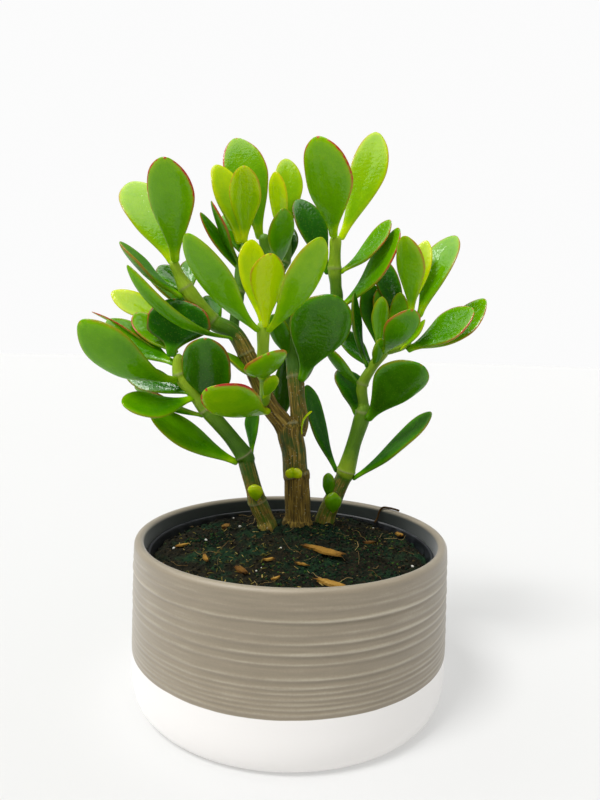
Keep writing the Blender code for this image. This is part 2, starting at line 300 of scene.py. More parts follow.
def modelLeafBlank():
    deselectAll()
    rings = leafBlank["rings"]
    bpy.ops.mesh.primitive_circle_add(vertices=leafBlank["sides"], radius=0.5, fill_type="NGON",
                                      rotation=(0, math.pi / 2, 0))
    blank = bpy.context.object
    bpy.ops.object.transform_apply(location=False, rotation=True, scale=False)
    editAll()
    bpy.ops.transform.resize(value=(1, rings[0][1], rings[0][2]), center_override=(0, 0, 0))
    for before, after in zip(rings, rings[1:]):
        bpy.ops.mesh.extrude_region_move(TRANSFORM_OT_translate={"value": (after[0] - before[0], 0, 0)})
        bpy.ops.transform.resize(value=(1, after[1] / before[1], after[2] / before[2]),
                                 center_override=(after[0], 0, 0))
    bpy.ops.mesh.extrude_region_move(TRANSFORM_OT_translate={"value": (1 - rings[-1][0], 0, 0)})
    bpy.ops.mesh.merge(type="CENTER")
    finishEdit()
    smoothing = leafBlank["smoothing"]
    applyModifier(blank, "SUBSURF", levels=smoothing, render_levels=smoothing)
    points = readPoints(blank.data)
    points[:, 0] = (points[:, 0] - points[:, 0].min()) / np.ptp(points[:, 0])
    points[:, 1] *= 0.5 / np.abs(points[:, 1]).max()
    points[:, 2] *= 0.5 / np.abs(points[:, 2]).max()
    writePoints(blank.data, points)
    blank.data.shade_smooth()
    return blank


# Reads a CAD leaf's place: its base ring, tip, width direction, upper face and bow.
def measureLeaf(node):
    points = np.unique(np.round(readPoints(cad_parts[node].data), 7), axis=0)
    axis = np.linalg.svd(points - points.mean(0), full_matrices=False)[2][0]
    reach = (points - points.mean(0)) @ axis
    atLowEnd = (reach < reach.min() + cadLeaf["endReach"]).sum()
    atHighEnd = (reach > reach.max() - cadLeaf["endReach"]).sum()
    if atLowEnd < atHighEnd:     # the stalk's end has a whole ring of points, the tip has one
        reach = -reach
    base = points[np.argsort(reach)[:cadLeaf["sides"]]].mean(0)
    tip = points[np.argmax(reach)]
    length = np.linalg.norm(tip - base)
    along = (tip - base) / length
    share = (points - base) @ along / length
    ring = points[np.argsort(np.abs(share - cadLeaf["widestAt"]))[:cadLeaf["sides"]]]
    spans = np.linalg.norm(ring[:, None] - ring[None], axis=2)
    first, second = np.unravel_index(np.argmax(spans), spans.shape)
    side = ring[first] - ring[second]
    side = side - along * (side @ along)
    side /= np.linalg.norm(side)
    face = np.cross(along, side)
    offset = (ring - base) @ face
    order = np.argsort(np.abs((ring - ring.mean(0)) @ side))
    if offset[order[-2:]].mean() < offset[order[:2]].mean():
        face, side = -face, -side
    middle = points[np.argsort(np.abs(share - cadLeaf["bowAt"]))[:cadLeaf["sides"]]]
    centre = np.argsort(np.abs((middle - base) @ side))[:2]
    return {"base": base, "along": along, "side": side, "face": face, "length": length,
            "width": spans[first, second], "thickness": abs(offset[order[0]] - offset[order[1]]),
            "bow": ((middle - base) @ face)[centre].mean()}


def placeLeaf(base, tip, width, roll, bow):
    base, tip = Vector(base) * mm, Vector(tip) * mm
    chord = tip - base
    turn = math.atan2(chord.y, chord.x)
    climb = math.asin(chord.z / chord.length)
    axes = np.array(Euler((math.radians(roll), -climb, turn)).to_matrix())
    return {"base": np.array(base), "along": axes[:, 0], "side": axes[:, 1], "face": axes[:, 2],
            "length": chord.length, "width": width * mm,
            "thickness": leafForm["thicknessOfWidth"] * width * mm, "bow": bow * mm}


# How far each point stands in from the margin, in millimetres, for the red edge.
def measureEdgeGap(shape, length, width):
    stations = np.linspace(0.1, 1.0, 91)
    outline = np.array([np.abs(shape[np.abs(shape[:, 0] - s) < 0.02, 1]).max() for s in stations])
    outline[-1] = 0.0
    return np.hypot((shape[:, None, 0] - stations[None]) * length,
                    (np.abs(shape[:, None, 1]) - outline[None]) * width).min(1) / mm


def growLeaf(blank, name, place, ownLook, material, nodes=()):
    look, form = {**plainLook, **ownLook}, leafForm
    mesh = blank.data.copy()
    piece = bpy.data.objects.new(name, mesh)
    bpy.context.scene.collection.objects.link(piece)
    shape = readPoints(mesh)
    length, width, seed = place["length"], place["width"] * look["broad"], look["seed"]
    turn = math.radians(look["turn"])
    side = place["side"] * math.cos(turn) + place["face"] * math.sin(turn)
    face = place["face"] * math.cos(turn) - place["side"] * math.sin(turn)
    reachIn = look["reach"] * mm
    run = shape[:, 0] * (length + reachIn) - reachIn
    share = np.clip(run / length, 0, 1)
    arch = 4 * share * (1 - share)
    sideShare = np.abs(shape[:, 1]) / 0.5
    # The stalk keeps one width whatever the leaf's, and the blade widens from it.
    stalk = min(width, form["stalkWidth"] * mm / leafBlank["rings"][0][1])
    spread = stalk + (width - stalk) * smoothStep(0.05, 0.42, share)
    swell = np.exp(-((share - form["fullAt"]) / form["fullReach"]) ** 2)
    across = shape[:, 1] * spread * (
        1 + look["blunt"] * smoothStep(0.6, 0.95, share) + look["full"] * swell)
    # A living margin wanders a little, and differs on the two sides.
    wander = np.array([noise.noise(Vector((s * form["wanderRate"], math.copysign(1.0, y) * 1.7 + seed,
                                           seed * 1.3))) for s, y in zip(share, shape[:, 1])])
    across *= 1 + form["wander"] * wander * smoothStep(0.15, 0.5, share)
    across += look["sway"] * mm * arch
    # Upper face a little hollow with a faint fold down its middle, lower face rounded.
    thick = shape[:, 2] * place["thickness"]
    height = thick * np.where(thick > 0, form["upperShare"], form["lowerShare"])
    height += look["cup"] * width * sideShare ** 2 * smoothStep(0.1, 0.6, share)
    fold = np.exp(-(shape[:, 1] / form["foldWidth"]) ** 2) * np.sin(np.pi * share) ** 0.7
    height -= np.where(shape[:, 2] > 0, look["fold"] * mm * fold, -form["underFold"] * mm * fold)
    height += place["bow"] * arch
    height += (form["ripple"] * mm * np.sin(share * form["rippleRate"] + seed * 5) * shape[:, 1] * 2
               * smoothStep(0.3, 0.6, share))
    twist = math.radians(look["twist"]) * (share - 0.5)
    across, height = (across * np.cos(twist) - height * np.sin(twist),
                      across * np.sin(twist) + height * np.cos(twist))
    points = (place["base"] + run[:, None] * place["along"] + across[:, None] * side
              + height[:, None] * face)
    writePoints(mesh, points)
    storeValues(mesh, "edgeGap", measureEdgeGap(shape, length, width))
    storeValues(mesh, "along", share)
    storeValues(mesh, "upper", smoothStep(-0.12, 0.12, shape[:, 2]))
    for key in ("tone", "blush"):
        storeValues(mesh, key, np.full(len(shape), look[key]))
    setPiece(piece, name, material, nodes)
    return piece


# Each large leaf, by its CAD node, and where it differs from the plain look. Its tone holds
# painted shade as well as age: leaves deep in the crown are set darker.
leafLooks = {
    "leaf_low_left_1": {"tone": 0.47, "blush": 0.3, "twist": 12},
    "leaf_low_left_2": {"tone": 0.28, "blush": 0.1},
    "leaf_low_left_3": {"tone": 0.2, "blush": 0.6, "fold": 0.4, "full": 0.4, "sway": -3.0},
    "leaf_low_left_4": {"tone": 0.36, "blush": 0.7},
    "leaf_low_left_5": {"tone": 0.44, "blush": 0.3, "twist": -10},
    "leaf_left_1": {"tone": 0.46, "blush": 0.35, "sway": -2.0, "twist": 14},
    "leaf_left_2": {"tone": 0.16, "blush": 0.8, "broad": 1.14, "full": 0.35, "sway": -3.0,
                    "reach": 4.0},
    "leaf_left_3": {"tone": 0.42, "blush": 0.4},
    "leaf_left_4": {"tone": 0.5, "blush": 1.0},
    "leaf_upper_left_1": {"tone": 0.54, "blush": 1.1, "fold": 0.3},
    "leaf_upper_left_2": {"tone": 0.68, "blush": 0.5, "cup": 0.1, "sway": 1.5},
    "leaf_upper_left_3": {"tone": 0.38, "blush": 0.6, "cup": 0.12},
    "leaf_upper_left_4": {"tone": 0.45, "blush": 0.4, "cup": 0.12},
    "leaf_upper_left_5": {"tone": 0.3, "blush": 0.5},
    "leaf_upper_left_6": {"tone": 0.42, "blush": 0.25, "broad": 0.68, "fold": 1.0},
    "leaf_front_1": {"tone": 0.5, "blush": 0.15, "fold": 0.5},
    "leaf_front_2": {"tone": 0.86, "blush": 0.15, "sway": 2.0},
    "leaf_front_3": {"tone": 1.02, "blush": 0.55},
    "leaf_front_4": {"tone": 0.6, "blush": 0.3, "fold": 0.7},
    "leaf_front_5": {"tone": 0.5, "blush": 0.7},
    "leaf_middle_1": {"tone": 0.6, "blush": 1.2},
    "leaf_middle_2": {"tone": 0.24, "blush": 0.3},
    "leaf_crown_1": {"tone": 0.58, "blush": 1.0},
    "leaf_crown_2": {"tone": 0.8, "blush": 0.2},
    "leaf_crown_3": {"tone": 0.78, "blush": 0.5},
    "leaf_crown_4": {"tone": 0.7, "blush": 0.3},
    "leaf_crown_5": {"tone": 0.56, "blush": 1.0, "sway": 2.5},
    "leaf_crown_6": {"tone": 0.72, "blush": 0.5, "sway": -2.0},
    "leaf_crown_7": {"tone": 0.48, "blush": 0.7, "turn": 12},
    "leaf_crown_8": {"tone": 0.46, "blush": 0.9, "turn": 12},
    "leaf_crown_9": {"tone": 0.16, "blush": 0.3},
    "leaf_crown_10": {"tone": 0.42, "blush": 0.3},
    "leaf_right_1": {"tone": 0.16, "blush": 0.2, "blunt": 0.16},
    "leaf_right_2": {"tone": 0.27, "blush": 0.3, "blunt": 0.16},
    "leaf_right_3": {"tone": 0.22, "blush": 0.25},
    "leaf_right_4": {"tone": 0.16, "blush": 0.2},
    "leaf_right_5": {"tone": 0.18, "blush": 0.3},
    "leaf_right_6": {"tone": 0.5, "blush": 0.3},
    "leaf_right_7": {"tone": 0.36, "blush": 0.7},
    "leaf_right_8": {"tone": 0.42, "blush": 0.9},
    "leaf_right_9": {"tone": 0.46, "blush": 0.7},
    "leaf_right_10": {"tone": 0.58, "blush": 0.6},
    "leaf_right_11": {"tone": 0.54, "blush": 0.6, "cup": 0.1, "turn": -8},
    "leaf_right_12": {"tone": 0.82, "blush": 0.2, "turn": 55},
}

# Small leaves between the large ones: base and tip in millimetres, width, roll, bow, tone, blush.
smallLeaves = (
    ((-62, 28, 176), (-98, 33, 193), 14, -55, -1, 0.8, 0.2),
    ((-60, 14, 156), (-106, 25, 182), 9, 10, 2, 0.5, 1.0),
    ((-52, 8, 143), (-86, 16, 152), 14, -50, -1, 0.25, 0.3),
    ((-54, 18, 194), (-57, 28, 210), 10, -20, 0, 0.4, 0.5),
    ((-57, 18, 193), (-72, 30, 207), 12, -30, 0, 0.35, 0.4),
    ((-17, 21, 150), (-36, 10, 163), 13, -30, -1, 0.55, 0.3),
    ((-15, 11, 142), (-10, 0, 153), 8, 0, -1, 0.6, 0.2),
    ((-4, 29, 162), (-12, 20, 183), 12, 20, -1, 0.3, 0.2),
    ((-4, 34, 168), (-7, 42, 128), 12, 0, 2, 0.12, 0.2),
    ((-8, 37, 222), (-13, 30, 256), 11, 10, -1, 0.82, 0.3),
    ((-29, 26, 206), (-44, 18, 238), 13, -10, -1, 0.3, 0.9),
    ((-30, 27, 205), (-50, 22, 233), 11, -40, -1, 0.32, 0.7),
    ((-27, 29, 212), (-40, 42, 236), 14, -30, 1, 0.45, 0.3),
    ((-8, 40, 208), (-7, 46, 232), 15, 0, 1, 0.12, 0.2),
    ((56, 30, 180), (43, 44, 216), 14, -30, -1, 0.2, 0.5),
    ((44, 30, 167), (38, 40, 202), 15, -20, -1, 0.25, 0.3),
    ((40, 29, 157), (24, 42, 176), 13, -30, -1, 0.2, 0.2),
    ((35, 29, 146), (16, 36, 166), 9, 60, -1, 0.28, 0.3),
    ((55, 23, 168), (65, 19, 182), 9, 30, -1, 0.55, 0.3),
    ((54, 26, 168), (63, 32, 183), 8, 30, -1, 0.5, 0.3),
    ((47, 28, 170), (45, 38, 200), 12, 0, -1, 0.45, 0.6),
    ((52, 25, 168), (53, 27, 196), 10, 10, -1, 0.5, 0.4),
    ((41, 26, 158), (43, 20, 172), 8, 10, -1, 0.4, 0.2),
    ((4, 22, 122), (9, 18, 134), 5, 40, 2, 0.75, 0.1),
    ((-40, 22, 176), (-48, 30, 192), 11, -30, 0, 0.3, 0.3),
)


def buildLeaves(material):
    blank = modelLeafBlank()
    for index, (node, look) in enumerate(leafLooks.items()):
        growLeaf(blank, node + "_skin", measureLeaf(node), {**look, "seed": index * 0.73},
                 material, (node,))
    for index, (base, tip, width, roll, bow, tone, blush) in enumerate(smallLeaves):
        look = {"tone": tone, "blush": blush, "seed": 40 + index * 0.61}
        growLeaf(blank, f"small_leaf_{index + 1}", placeLeaf(base, tip, width, roll, bow), look,
                 material)
    bpy.data.objects.remove(blank)
    print("leaves: %d large, %d small" % (len(leafLooks), len(smallLeaves)))


jadeLeaf = makeLeafMaterial()
buildLeaves(jadeLeaf)


# Jade stem: smooth olive-green skin on new wood, brown papery bark with fine fibres on old.
stemLook = {
    "greens": ((0.0, "#26480a"), (0.35, "#3a6408"), (0.7, "#5d8a08"), (1.0, "#9dbd20")),
    "barks": ((0.28, "#1e190a"), (0.42, "#51431a"), (0.56, "#8f742d"), (0.78, "#c4ab58")),
    "fibreWidth": 0.9, "fibreLength": 14.0,              # millimetres round the stem and along it
    "ring": 0.35, "ringAbove": 1.2, "ringWidth": 0.7,    # the raised leaf-scar ring at a joint
    "grooveBelow": 0.6, "grooveWidth": 0.8, "scarAbove": 1.1, "scarWidth": 0.45,
    "domeLength": 1.3,           # of the growing end, in radii
    "lumps": 0.035, "lumpLength": 9, "flutes": 0.45, "fluteLength": 16,
    "sides": 28, "trunkSides": 40, "spacing": 0.8,
}


def makeStemMaterial():
    look = stemLook
    material, tree, shader = startMaterial("jade stem, green skin to bark", {
        "Roughness": 0.6, "IOR": 1.45, "Specular IOR Level": 0.35})
    grain = addNode(tree, "Attribute", {"attribute_name": "grain"}).outputs["Vector"]
    wood, fresh, scar = (addNode(tree, "Attribute", {"attribute_name": name}).outputs["Fac"]
                         for name in ("wood", "fresh", "scar"))
    around, lengthwise = 1 / look["fibreWidth"], 1 / look["fibreLength"]
    stretched = addNode(tree, "Mapping", {}, {"Vector": grain, "Scale": (around, around, lengthwise)})
    fibres = addNode(tree, "TexNoise", {}, {
        "Vector": stretched, "Scale": 1.0, "Detail": 5.0, "Roughness": 0.65})
    patches = addNode(tree, "TexNoise", {}, {"Vector": grain, "Scale": 0.22, "Detail": 4.0})
    spots = addNode(tree, "TexVoronoi", {}, {"Vector": grain, "Scale": 0.75})
    greenPlace = addNode(tree, "Math", multiplyAdd, {0: patches, 1: 0.3, 2: fresh})
    green = addNode(tree, "ValToRGB", {"stops": look["greens"]}, {"Fac": greenPlace})
    bark = addNode(tree, "ValToRGB", {"stops": look["barks"]}, {"Fac": fibres})
    # Bark takes over in uneven patches and streaks, not in a straight line.
    patchy = addNode(tree, "Math", add, {0: patches, 1: fibres})
    level = addNode(tree, "Math", multiplyAdd, {0: wood, 1: 1.5, 2: patchy})
    barkShare = addNode(tree, "MapRange", eased, {"Value": level, "From Min": 1.35, "From Max": 1.9})
    skin = addNode(tree, "Mix", colourMix, {0: barkShare, 6: green, 7: bark})
    # Pale mineral spots on old green skin.
    spotShare = addNode(tree, "MapRange", {}, {
        "Value": spots, "From Min": 0.12, "From Max": 0.26, "To Min": 0.75, "To Max": 0.0})
    spotWhere = addNode(tree, "MapRange", {}, {
        "Value": wood, "From Min": 0.12, "From Max": 0.4, "To Min": 0.0, "To Max": 1.0})
    spotThin = addNode(tree, "MapRange", {}, {"Value": patches, "From Min": 0.45, "From Max": 0.62})
    spotSome = addNode(tree, "Math", multiply, {0: spotWhere, 1: spotThin})
    spotFull = addNode(tree, "Math", multiply, {0: spotShare, 1: spotSome})
    spotted = addNode(tree, "Mix", colourMix, {0: spotFull, 6: skin, 7: "#c9c8a6"})
    scarPaler = addNode(tree, "Math", multiply, {0: scar, 1: 0.6})
    scarred = addNode(tree, "Mix", colourMix, {0: scarPaler, 6: spotted, 7: "#b0ab80"})
    setInputs(tree, shader, {"Base Color": scarred})
    rough = addNode(tree, "MapRange", {}, {"Value": barkShare, "To Min": 0.42, "To Max": 0.85})
    setInputs(tree, shader, {"Roughness": rough})
    relief = addNode(tree, "Bump", {}, {"Height": fibres, "Strength": 0.9, "Distance": 0.7 * mm})
    setInputs(tree, shader, {"Normal": relief})
    return material


# Points up each stem: x, y, z and radius in millimetres, how woody, and how bright a green.
# Swollen points are the joints where leaves grow or grew.
stemPaths = {
    "left_stem": ("green_stem", (
        (-12.5, 21, 66, 6.2, 0.55, 0.4), (-13, 21, 73, 5.4, 0.5, 0.3), (-14, 21, 76, 4.8, 0.46, 0.3),
        (-18, 20, 85, 4.9, 0.45, 0.3), (-20, 19, 92, 4.3, 0.42, 0.25), (-24, 17.4, 106, 4.2, 0.36, 0.2),
        (-25, 17, 110, 4.6, 0.1, 0.3),
        (-33, 15, 121, 3.8, 0.02, 0.3), (-44, 12, 134, 4.0, 0, 0.6), (-50, 10, 142, 3.3, 0, 0.75),
        (-57, 9, 151, 3.4, 0, 0.85), (-58, 9, 158, 2.8, 0, 0.85), (-57.6, 9.8, 162, 2.5, 0, 0.85))),
    "trunk": ("bark", (
        (3, 28, 65, 9.4, 1, 0), (3, 28, 73, 8.2, 1, 0), (3, 28, 77, 7.0, 1, 0), (2, 27, 95, 6.6, 1, 0),
        (2, 27, 98, 7.1, 0.75, 0), (1, 27, 101, 6.6, 0.46, 0), (0, 26, 112, 6.5, 0.44, 0),
        (-2, 25, 121, 6.8, 0.48, 0), (-2, 25, 126.5, 7.3, 0.6, 0), (-2.5, 25, 130, 5.6, 0.6, 0))),
    "left_limb": ("bark", (
        (-3, 25.2, 121, 5.4, 0.9, 0), (-6.7, 24.6, 127.6, 5.2, 0.9, 0), (-13, 22, 135.5, 4.8, 0.9, 0),
        (-19, 21, 148, 4.3, 0.75, 0.1), (-25, 20, 162, 4.5, 0.6, 0.1), (-32, 20, 173, 4.2, 0.3, 0.25),
        (-42, 18, 178, 4.4, 0.05, 0.6), (-49, 16, 186, 3.8, 0, 0.75), (-55, 14, 194, 4.0, 0, 0.85),
        (-59, 13, 201, 2.7, 0, 0.8), (-62, 12, 208, 2.6, 0, 0.9))),
    "middle_limb": ("bark", (
        (1, 26.5, 121, 5.2, 0.7, 0.1), (2.6, 26.8, 127.6, 5.0, 0.5, 0.1), (1, 27, 140, 4.2, 0.48, 0.1),
        (0, 27, 150, 4.5, 0.35, 0.2), (-2, 30, 162, 3.9, 0.12, 0.3), (-6, 34, 185, 3.8, 0.05, 0.3),
        (-12, 37, 208, 4.0, 0.05, 0.3), (-17, 38, 217, 3.2, 0, 0.4), (-19, 38, 226, 3.0, 0, 0.5))),
    "front_shoot": ("green_stem", (
        (-15.5, 18.5, 138, 2.6, 0.1, 0.6), (-15, 14, 142, 2.8, 0, 0.7), (-15, 11, 150, 2.9, 0, 0.8),
        (-16, 8, 154, 3.4, 0, 0.85), (-16, 5, 166, 2.9, 0, 0.95), (-16, 3, 176, 3.3, 0, 1.0),
        (-16, 2, 179, 2.6, 0, 1.0))),
    "inner_twig": ("green_stem", (
        (-31.5, 20.5, 173, 2.6, 0.3, 0.2), (-32, 23, 179, 2.6, 0.15, 0.2), (-30, 24, 193, 2.9, 0, 0.3),
        (-30, 26, 205, 2.5, 0, 0.35), (-28, 28, 214, 2.8, 0, 0.45), (-27, 29, 220, 2.6, 0, 0.6))),
    "crown_twig": ("green_stem", (
        (-11, 38, 206, 2.4, 0, 0.3), (-7, 39.5, 210.5, 2.4, 0, 0.3), (-6, 38, 218, 2.3, 0, 0.4),
        (-7, 38, 228, 2.6, 0, 0.5))),
    "back_right_limb": ("green_stem", (
        (0.5, 28, 148, 3.0, 0.3, 0.2), (6, 31, 155, 3.0, 0.2, 0.25), (12, 33, 172, 3.4, 0.05, 0.3),
        (20, 34, 190, 3.7, 0, 0.4), (20, 33, 199, 3.1, 0, 0.55), (19, 32, 207, 3.6, 0, 0.75),
        (19, 31, 216, 3.0, 0, 0.7), (19, 31, 225, 3.3, 0, 1.0))),
    "right_stem": ("green_stem", (
        (17.5, 34.2, 66, 6.2, 0.5, 0.4), (18, 34, 72.5, 5.4, 0.46, 0.4), (19, 34, 77, 5.0, 0.42, 0.35),
        (21, 33, 82, 5.0, 0.38, 0.35), (24, 32, 90, 4.5, 0.38, 0.3), (27, 31.2, 97, 4.3, 0.32, 0.3),
        (28, 31, 100, 4.9, 0.05, 0.8),
        (32, 30, 116, 3.9, 0, 0.5), (36, 28, 132, 4.3, 0, 0.55), (36, 28, 138, 2.8, 0, 0.6),
        (35, 27, 147, 3.0, 0, 0.7), (40, 27, 157, 2.6, 0, 0.7), (46, 27, 166, 3.1, 0, 0.75),
        (47, 27, 170, 2.3, 0, 0.8))),
    "right_twig": ("green_stem", (
        (45.5, 27, 165.5, 2.3, 0, 0.7), (50, 26, 166.5, 2.3, 0, 0.7), (56, 25, 170, 2.8, 0, 0.75),
        (59, 24, 178, 2.4, 0, 0.8), (61, 24, 186, 2.8, 0, 0.95))),
}


# A smooth line through the points, every value eased between them.
def smoothPath(points, spacing):
    points = np.array(points, float)
    padded = np.vstack((2 * points[0] - points[1], points, 2 * points[-1] - points[-2]))
    rows = []
    for index in range(1, len(padded) - 2):
        before, first, second, after = padded[index - 1:index + 3]
        steps = max(2, int(np.linalg.norm((second - first)[:3]) / spacing))
        for step in range(steps):
            t = step / steps
            rows.append(0.5 * ((2 * first) + (second - before) * t
                               + (2 * before - 5 * first + 4 * second - after) * t * t
                               + (3 * first - before - 3 * second + after) * t ** 3))
    rows.append(points[-1])
    return np.array(rows)


def turnFrames(middles):
    directions = np.gradient(middles, axis=0)
    directions /= np.linalg.norm(directions, axis=1)[:, None]
    across = np.zeros_like(middles)
    side = np.array((1.0, 0.0, 0.0))
    for index, direction in enumerate(directions):
        side = side - direction * (side @ direction)
        side /= np.linalg.norm(side)
        across[index] = side
    return across, np.cross(directions, across)


def buildStem(name, path, material):
    look = stemLook
    sides = look["trunkSides"] if name == "trunk" else look["sides"]
    rows = smoothPath(path, look["spacing"])
    middles, radius, wood, fresh = rows[:, :3], rows[:, 3].copy(), rows[:, 4], rows[:, 5]
    distance = np.concatenate(([0], np.cumsum(np.linalg.norm(np.diff(middles, axis=0), axis=1))))
    # A joint carries a fine raised ring where a leaf pair clasped the stem.
    knots = np.array(path)
    scar = np.zeros(len(rows))
    for before, knot, after in zip(knots, knots[1:], knots[2:]):
        if knot[3] >= before[3] and knot[3] >= after[3]:
            past = distance - distance[np.argmin(np.linalg.norm(middles - knot[:3], axis=1))]
            radius += look["ring"] * np.exp(-((past - look["ringAbove"]) / look["ringWidth"]) ** 2)
            radius -= 0.5 * look["ring"] * np.exp(
                -((past + look["grooveBelow"]) / look["grooveWidth"]) ** 2)
            scar = np.maximum(scar, np.exp(-((past - look["scarAbove"]) / look["scarWidth"]) ** 2))
    # The growing end is domed.
    left = distance[-1] - distance
    dome = 1 - np.clip(1 - left / (look["domeLength"] * radius), 0, 1) ** 2
    radius *= np.sqrt(np.clip(dome, 0, 1))
    radius[-1] = 0
    across, up = turnFrames(middles)
    deselectAll()
    bpy.ops.mesh.primitive_grid_add(x_subdivisions=sides, y_subdivisions=len(rows) - 1, size=1)
    piece = bpy.context.object
    flat = readPoints(piece.data)
    column = np.rint((flat[:, 0] + 0.5) * sides).astype(int)
    row = np.rint((flat[:, 1] + 0.5) * (len(rows) - 1)).astype(int)
    angle = 2 * np.pi * (column % sides) / sides
    # Living stems are a little lumpy, and old bark is fluted by shallow lengthwise ridges.
    lumps, flutes = (
        np.array([noise.noise(Vector((math.cos(a) * fineness, math.sin(a) * fineness,
                                      distance[r] / reach + shift))) for a, r in zip(angle, row)])
        for fineness, reach, shift in ((1.5, look["lumpLength"], 0), (4.5, look["fluteLength"], 7)))
    bumpy = radius[row] * (1 + look["lumps"] * lumps)
    bumpy += look["flutes"] * wood[row] * np.minimum(radius[row] / 7, 1) * flutes
    bumpy = np.where(radius[row] <= 0, 0, bumpy)
    tube = (middles[row] + across[row] * (bumpy * np.cos(angle))[:, None]
            + up[row] * (bumpy * np.sin(angle))[:, None]) * mm
    writePoints(piece.data, tube)
    storeVectors(piece.data, "grain", np.stack((
        radius[row] * np.cos(angle), radius[row] * np.sin(angle), distance[row]), axis=1))
    for key, values in (("wood", wood), ("fresh", fresh), ("scar", scar)):
        storeValues(piece.data, key, values[row])
    editAll()
    bpy.ops.mesh.remove_doubles(threshold=weldGap)
    selectOpenEdges()
    bpy.ops.mesh.edge_face_add()
    finishEdit()
    setPiece(piece, name + "_skin", material, (name,))


jadeStem = makeStemMaterial()
for stemName, (stemSlot, stemPath) in stemPaths.items():
    buildStem(stemName, stemPath, jadeStem)
print("stems: %d" % len(stemPaths))


# New buds pushing out of the old joints. Each lobe: base and tip in millimetres from the middle
# of the bud's own box, width, roll, how plump, and tone.
buds = {
    "left_bud": (((0.5, 4, -3.5), (-0.6, -1.2, 4.2), 8.0, 0, 0.6, 0.72),),
    "trunk_bud": (((0.8, 4, -0.6), (-4.0, -0.6, 1.6), 6.0, 70, 0.5, 0.74),
                  ((-0.8, 4, -0.6), (4.0, -0.6, 1.4), 6.0, -70, 0.5, 0.8)),
    "right_bud": (((2.2, 0.3, -7.5), (1.2, -2.2, 6.6), 7.4, 0, 0.42, 0.3),
                  ((3.7, -0.2, -15.0), (4.2, -3.2, -3.6), 9.4, 0, 0.45, 0.46)),
}


def buildBuds(blank, material):
    for name, bud in buds.items():
        low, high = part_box(name)
        centre = (low + high) / 2 / mm
        lobes = []
        for base, tip, width, roll, plump, tone in bud:
            place = placeLeaf(centre + Vector(base), centre + Vector(tip), width, roll, -0.5)
            place["thickness"] = plump * place["width"]
            look = {"tone": tone, "blush": 0.1, "seed": width, "cup": 0.05, "fold": 0.1}
            lobes.append(growLeaf(blank, name + "_lobe", place, look, material))
        setPiece(joinPieces(lobes), name + "_skin", material, (name,))


budBlank = modelLeafBlank()
buildBuds(budBlank, jadeLeaf)
bpy.data.objects.remove(budBlank)
print("buds: %d" % len(buds))


# Stoneware: a satin grey-taupe glaze that breaks paler on the throwing ridges, and a clear
# glossy glaze over a white dipped foot. The inside wall is a dark slate glaze.
coverPot = {
    "rimRadius": 75.0, "bellyRadius": 76.0, "footRadius": 70.0, "height": 76.0, "wall": 4.6,
    "floor": 6.0, "bellyTop": 24.0, "glazeLine": 24.8,
    # height up the wall and strength, in millimetres
    "ridges": ((70.9, 0.12), (68.2, 0.2), (63.6, 0.42), (58.4, 0.24), (54.8, 0.34), (50.5, 0.32),
               (46.9, 0.3), (41.0, 0.28), (37.4, 0.22), (35.4, 0.22), (33.0, 0.22), (31.0, 0.2),
               (29.0, 0.22), (27.0, 0.22), (25.6, 0.1)),
    "ridgeWidth": 0.7, "grooveBelow": 1.15, "grooveShare": 0.55, "strongest": 0.42,
    "rimRound": 2.5, "wallStep": 0.45,
    "slateFrom": 75.2, "slateFull": 73.9,    # the dark inside starts just under the top of the rim
    "steps": 240,
    "grey": ((0.0, "#746b58"), (0.5, "#918570"), (1.0, "#c0b7a2")),
    "white": "#f7f4f1",
    "slate": "#2c3432",
}


def makePotMaterial():
    look = coverPot
    material, tree, shader = startMaterial("stoneware, satin grey and white glaze", {
        "Roughness": 0.5, "IOR": 1.5, "Specular IOR Level": 0.6, "Sheen Weight": 0.35,
        "Sheen Roughness": 0.5})
    place = addNode(tree, "TexCoord").outputs["Object"]
    apart = addNode(tree, "SeparateXYZ", {}, {0: place})
    ridge, inside = (addNode(tree, "Attribute", {"attribute_name": name}).outputs["Fac"]
                     for name in ("ridge", "inside"))
    cloud = addNode(tree, "TexNoise", {}, {"Vector": place, "Scale": 1 / (30 * mm), "Detail": 5.0})
    flat = addNode(tree, "Mapping", {}, {"Vector": place, "Scale": (60, 60, 900)})
    streak = addNode(tree, "TexNoise", {}, {"Vector": flat, "Scale": 1.0, "Detail": 4.0})
    speck = addNode(tree, "TexNoise", {}, {"Vector": place, "Scale": 1 / (0.9 * mm), "Detail": 2.0})
    tones = addNode(tree, "Math", multiplyAdd, {0: streak, 1: 0.45, 2: ridge})
    clouded = addNode(tree, "Math", multiplyAdd, {0: cloud, 1: 0.25, 2: tones})
    speckled = addNode(tree, "Math", multiplyAdd, {0: speck, 1: 0.16, 2: clouded})
    grey = addNode(tree, "ValToRGB", {"stops": look["grey"]}, {"Fac": speckled})
    # The dipped edge wanders by a few tenths of a millimetre.
    border = addNode(tree, "Math", multiplyAdd, {
        0: cloud, 1: 1.2 * mm, 2: (look["glazeLine"] - 0.6) * mm})
    above = addNode(tree, "Math", {"operation": "SUBTRACT"}, {0: apart.outputs["Z"], 1: border})
    greyShare = addNode(tree, "MapRange", eased, {
        "Value": above, "From Min": -0.15 * mm, "From Max": 0.2 * mm})
    outer = addNode(tree, "Mix", colourMix, {0: greyShare, 6: look["white"], 7: grey})
    both = addNode(tree, "Mix", colourMix, {0: inside, 6: outer, 7: look["slate"]})
    setInputs(tree, shader, {"Base Color": both})
    rough = addNode(tree, "MapRange", {}, {"Value": greyShare, "To Min": 0.3, "To Max": 0.52})
    setInputs(tree, shader, {"Roughness": rough})
    grit = addNode(tree, "Bump", {}, {"Height": speck, "Strength": 0.12, "Distance": 0.2 * mm})
    setInputs(tree, shader, {"Normal": grit})
    return material


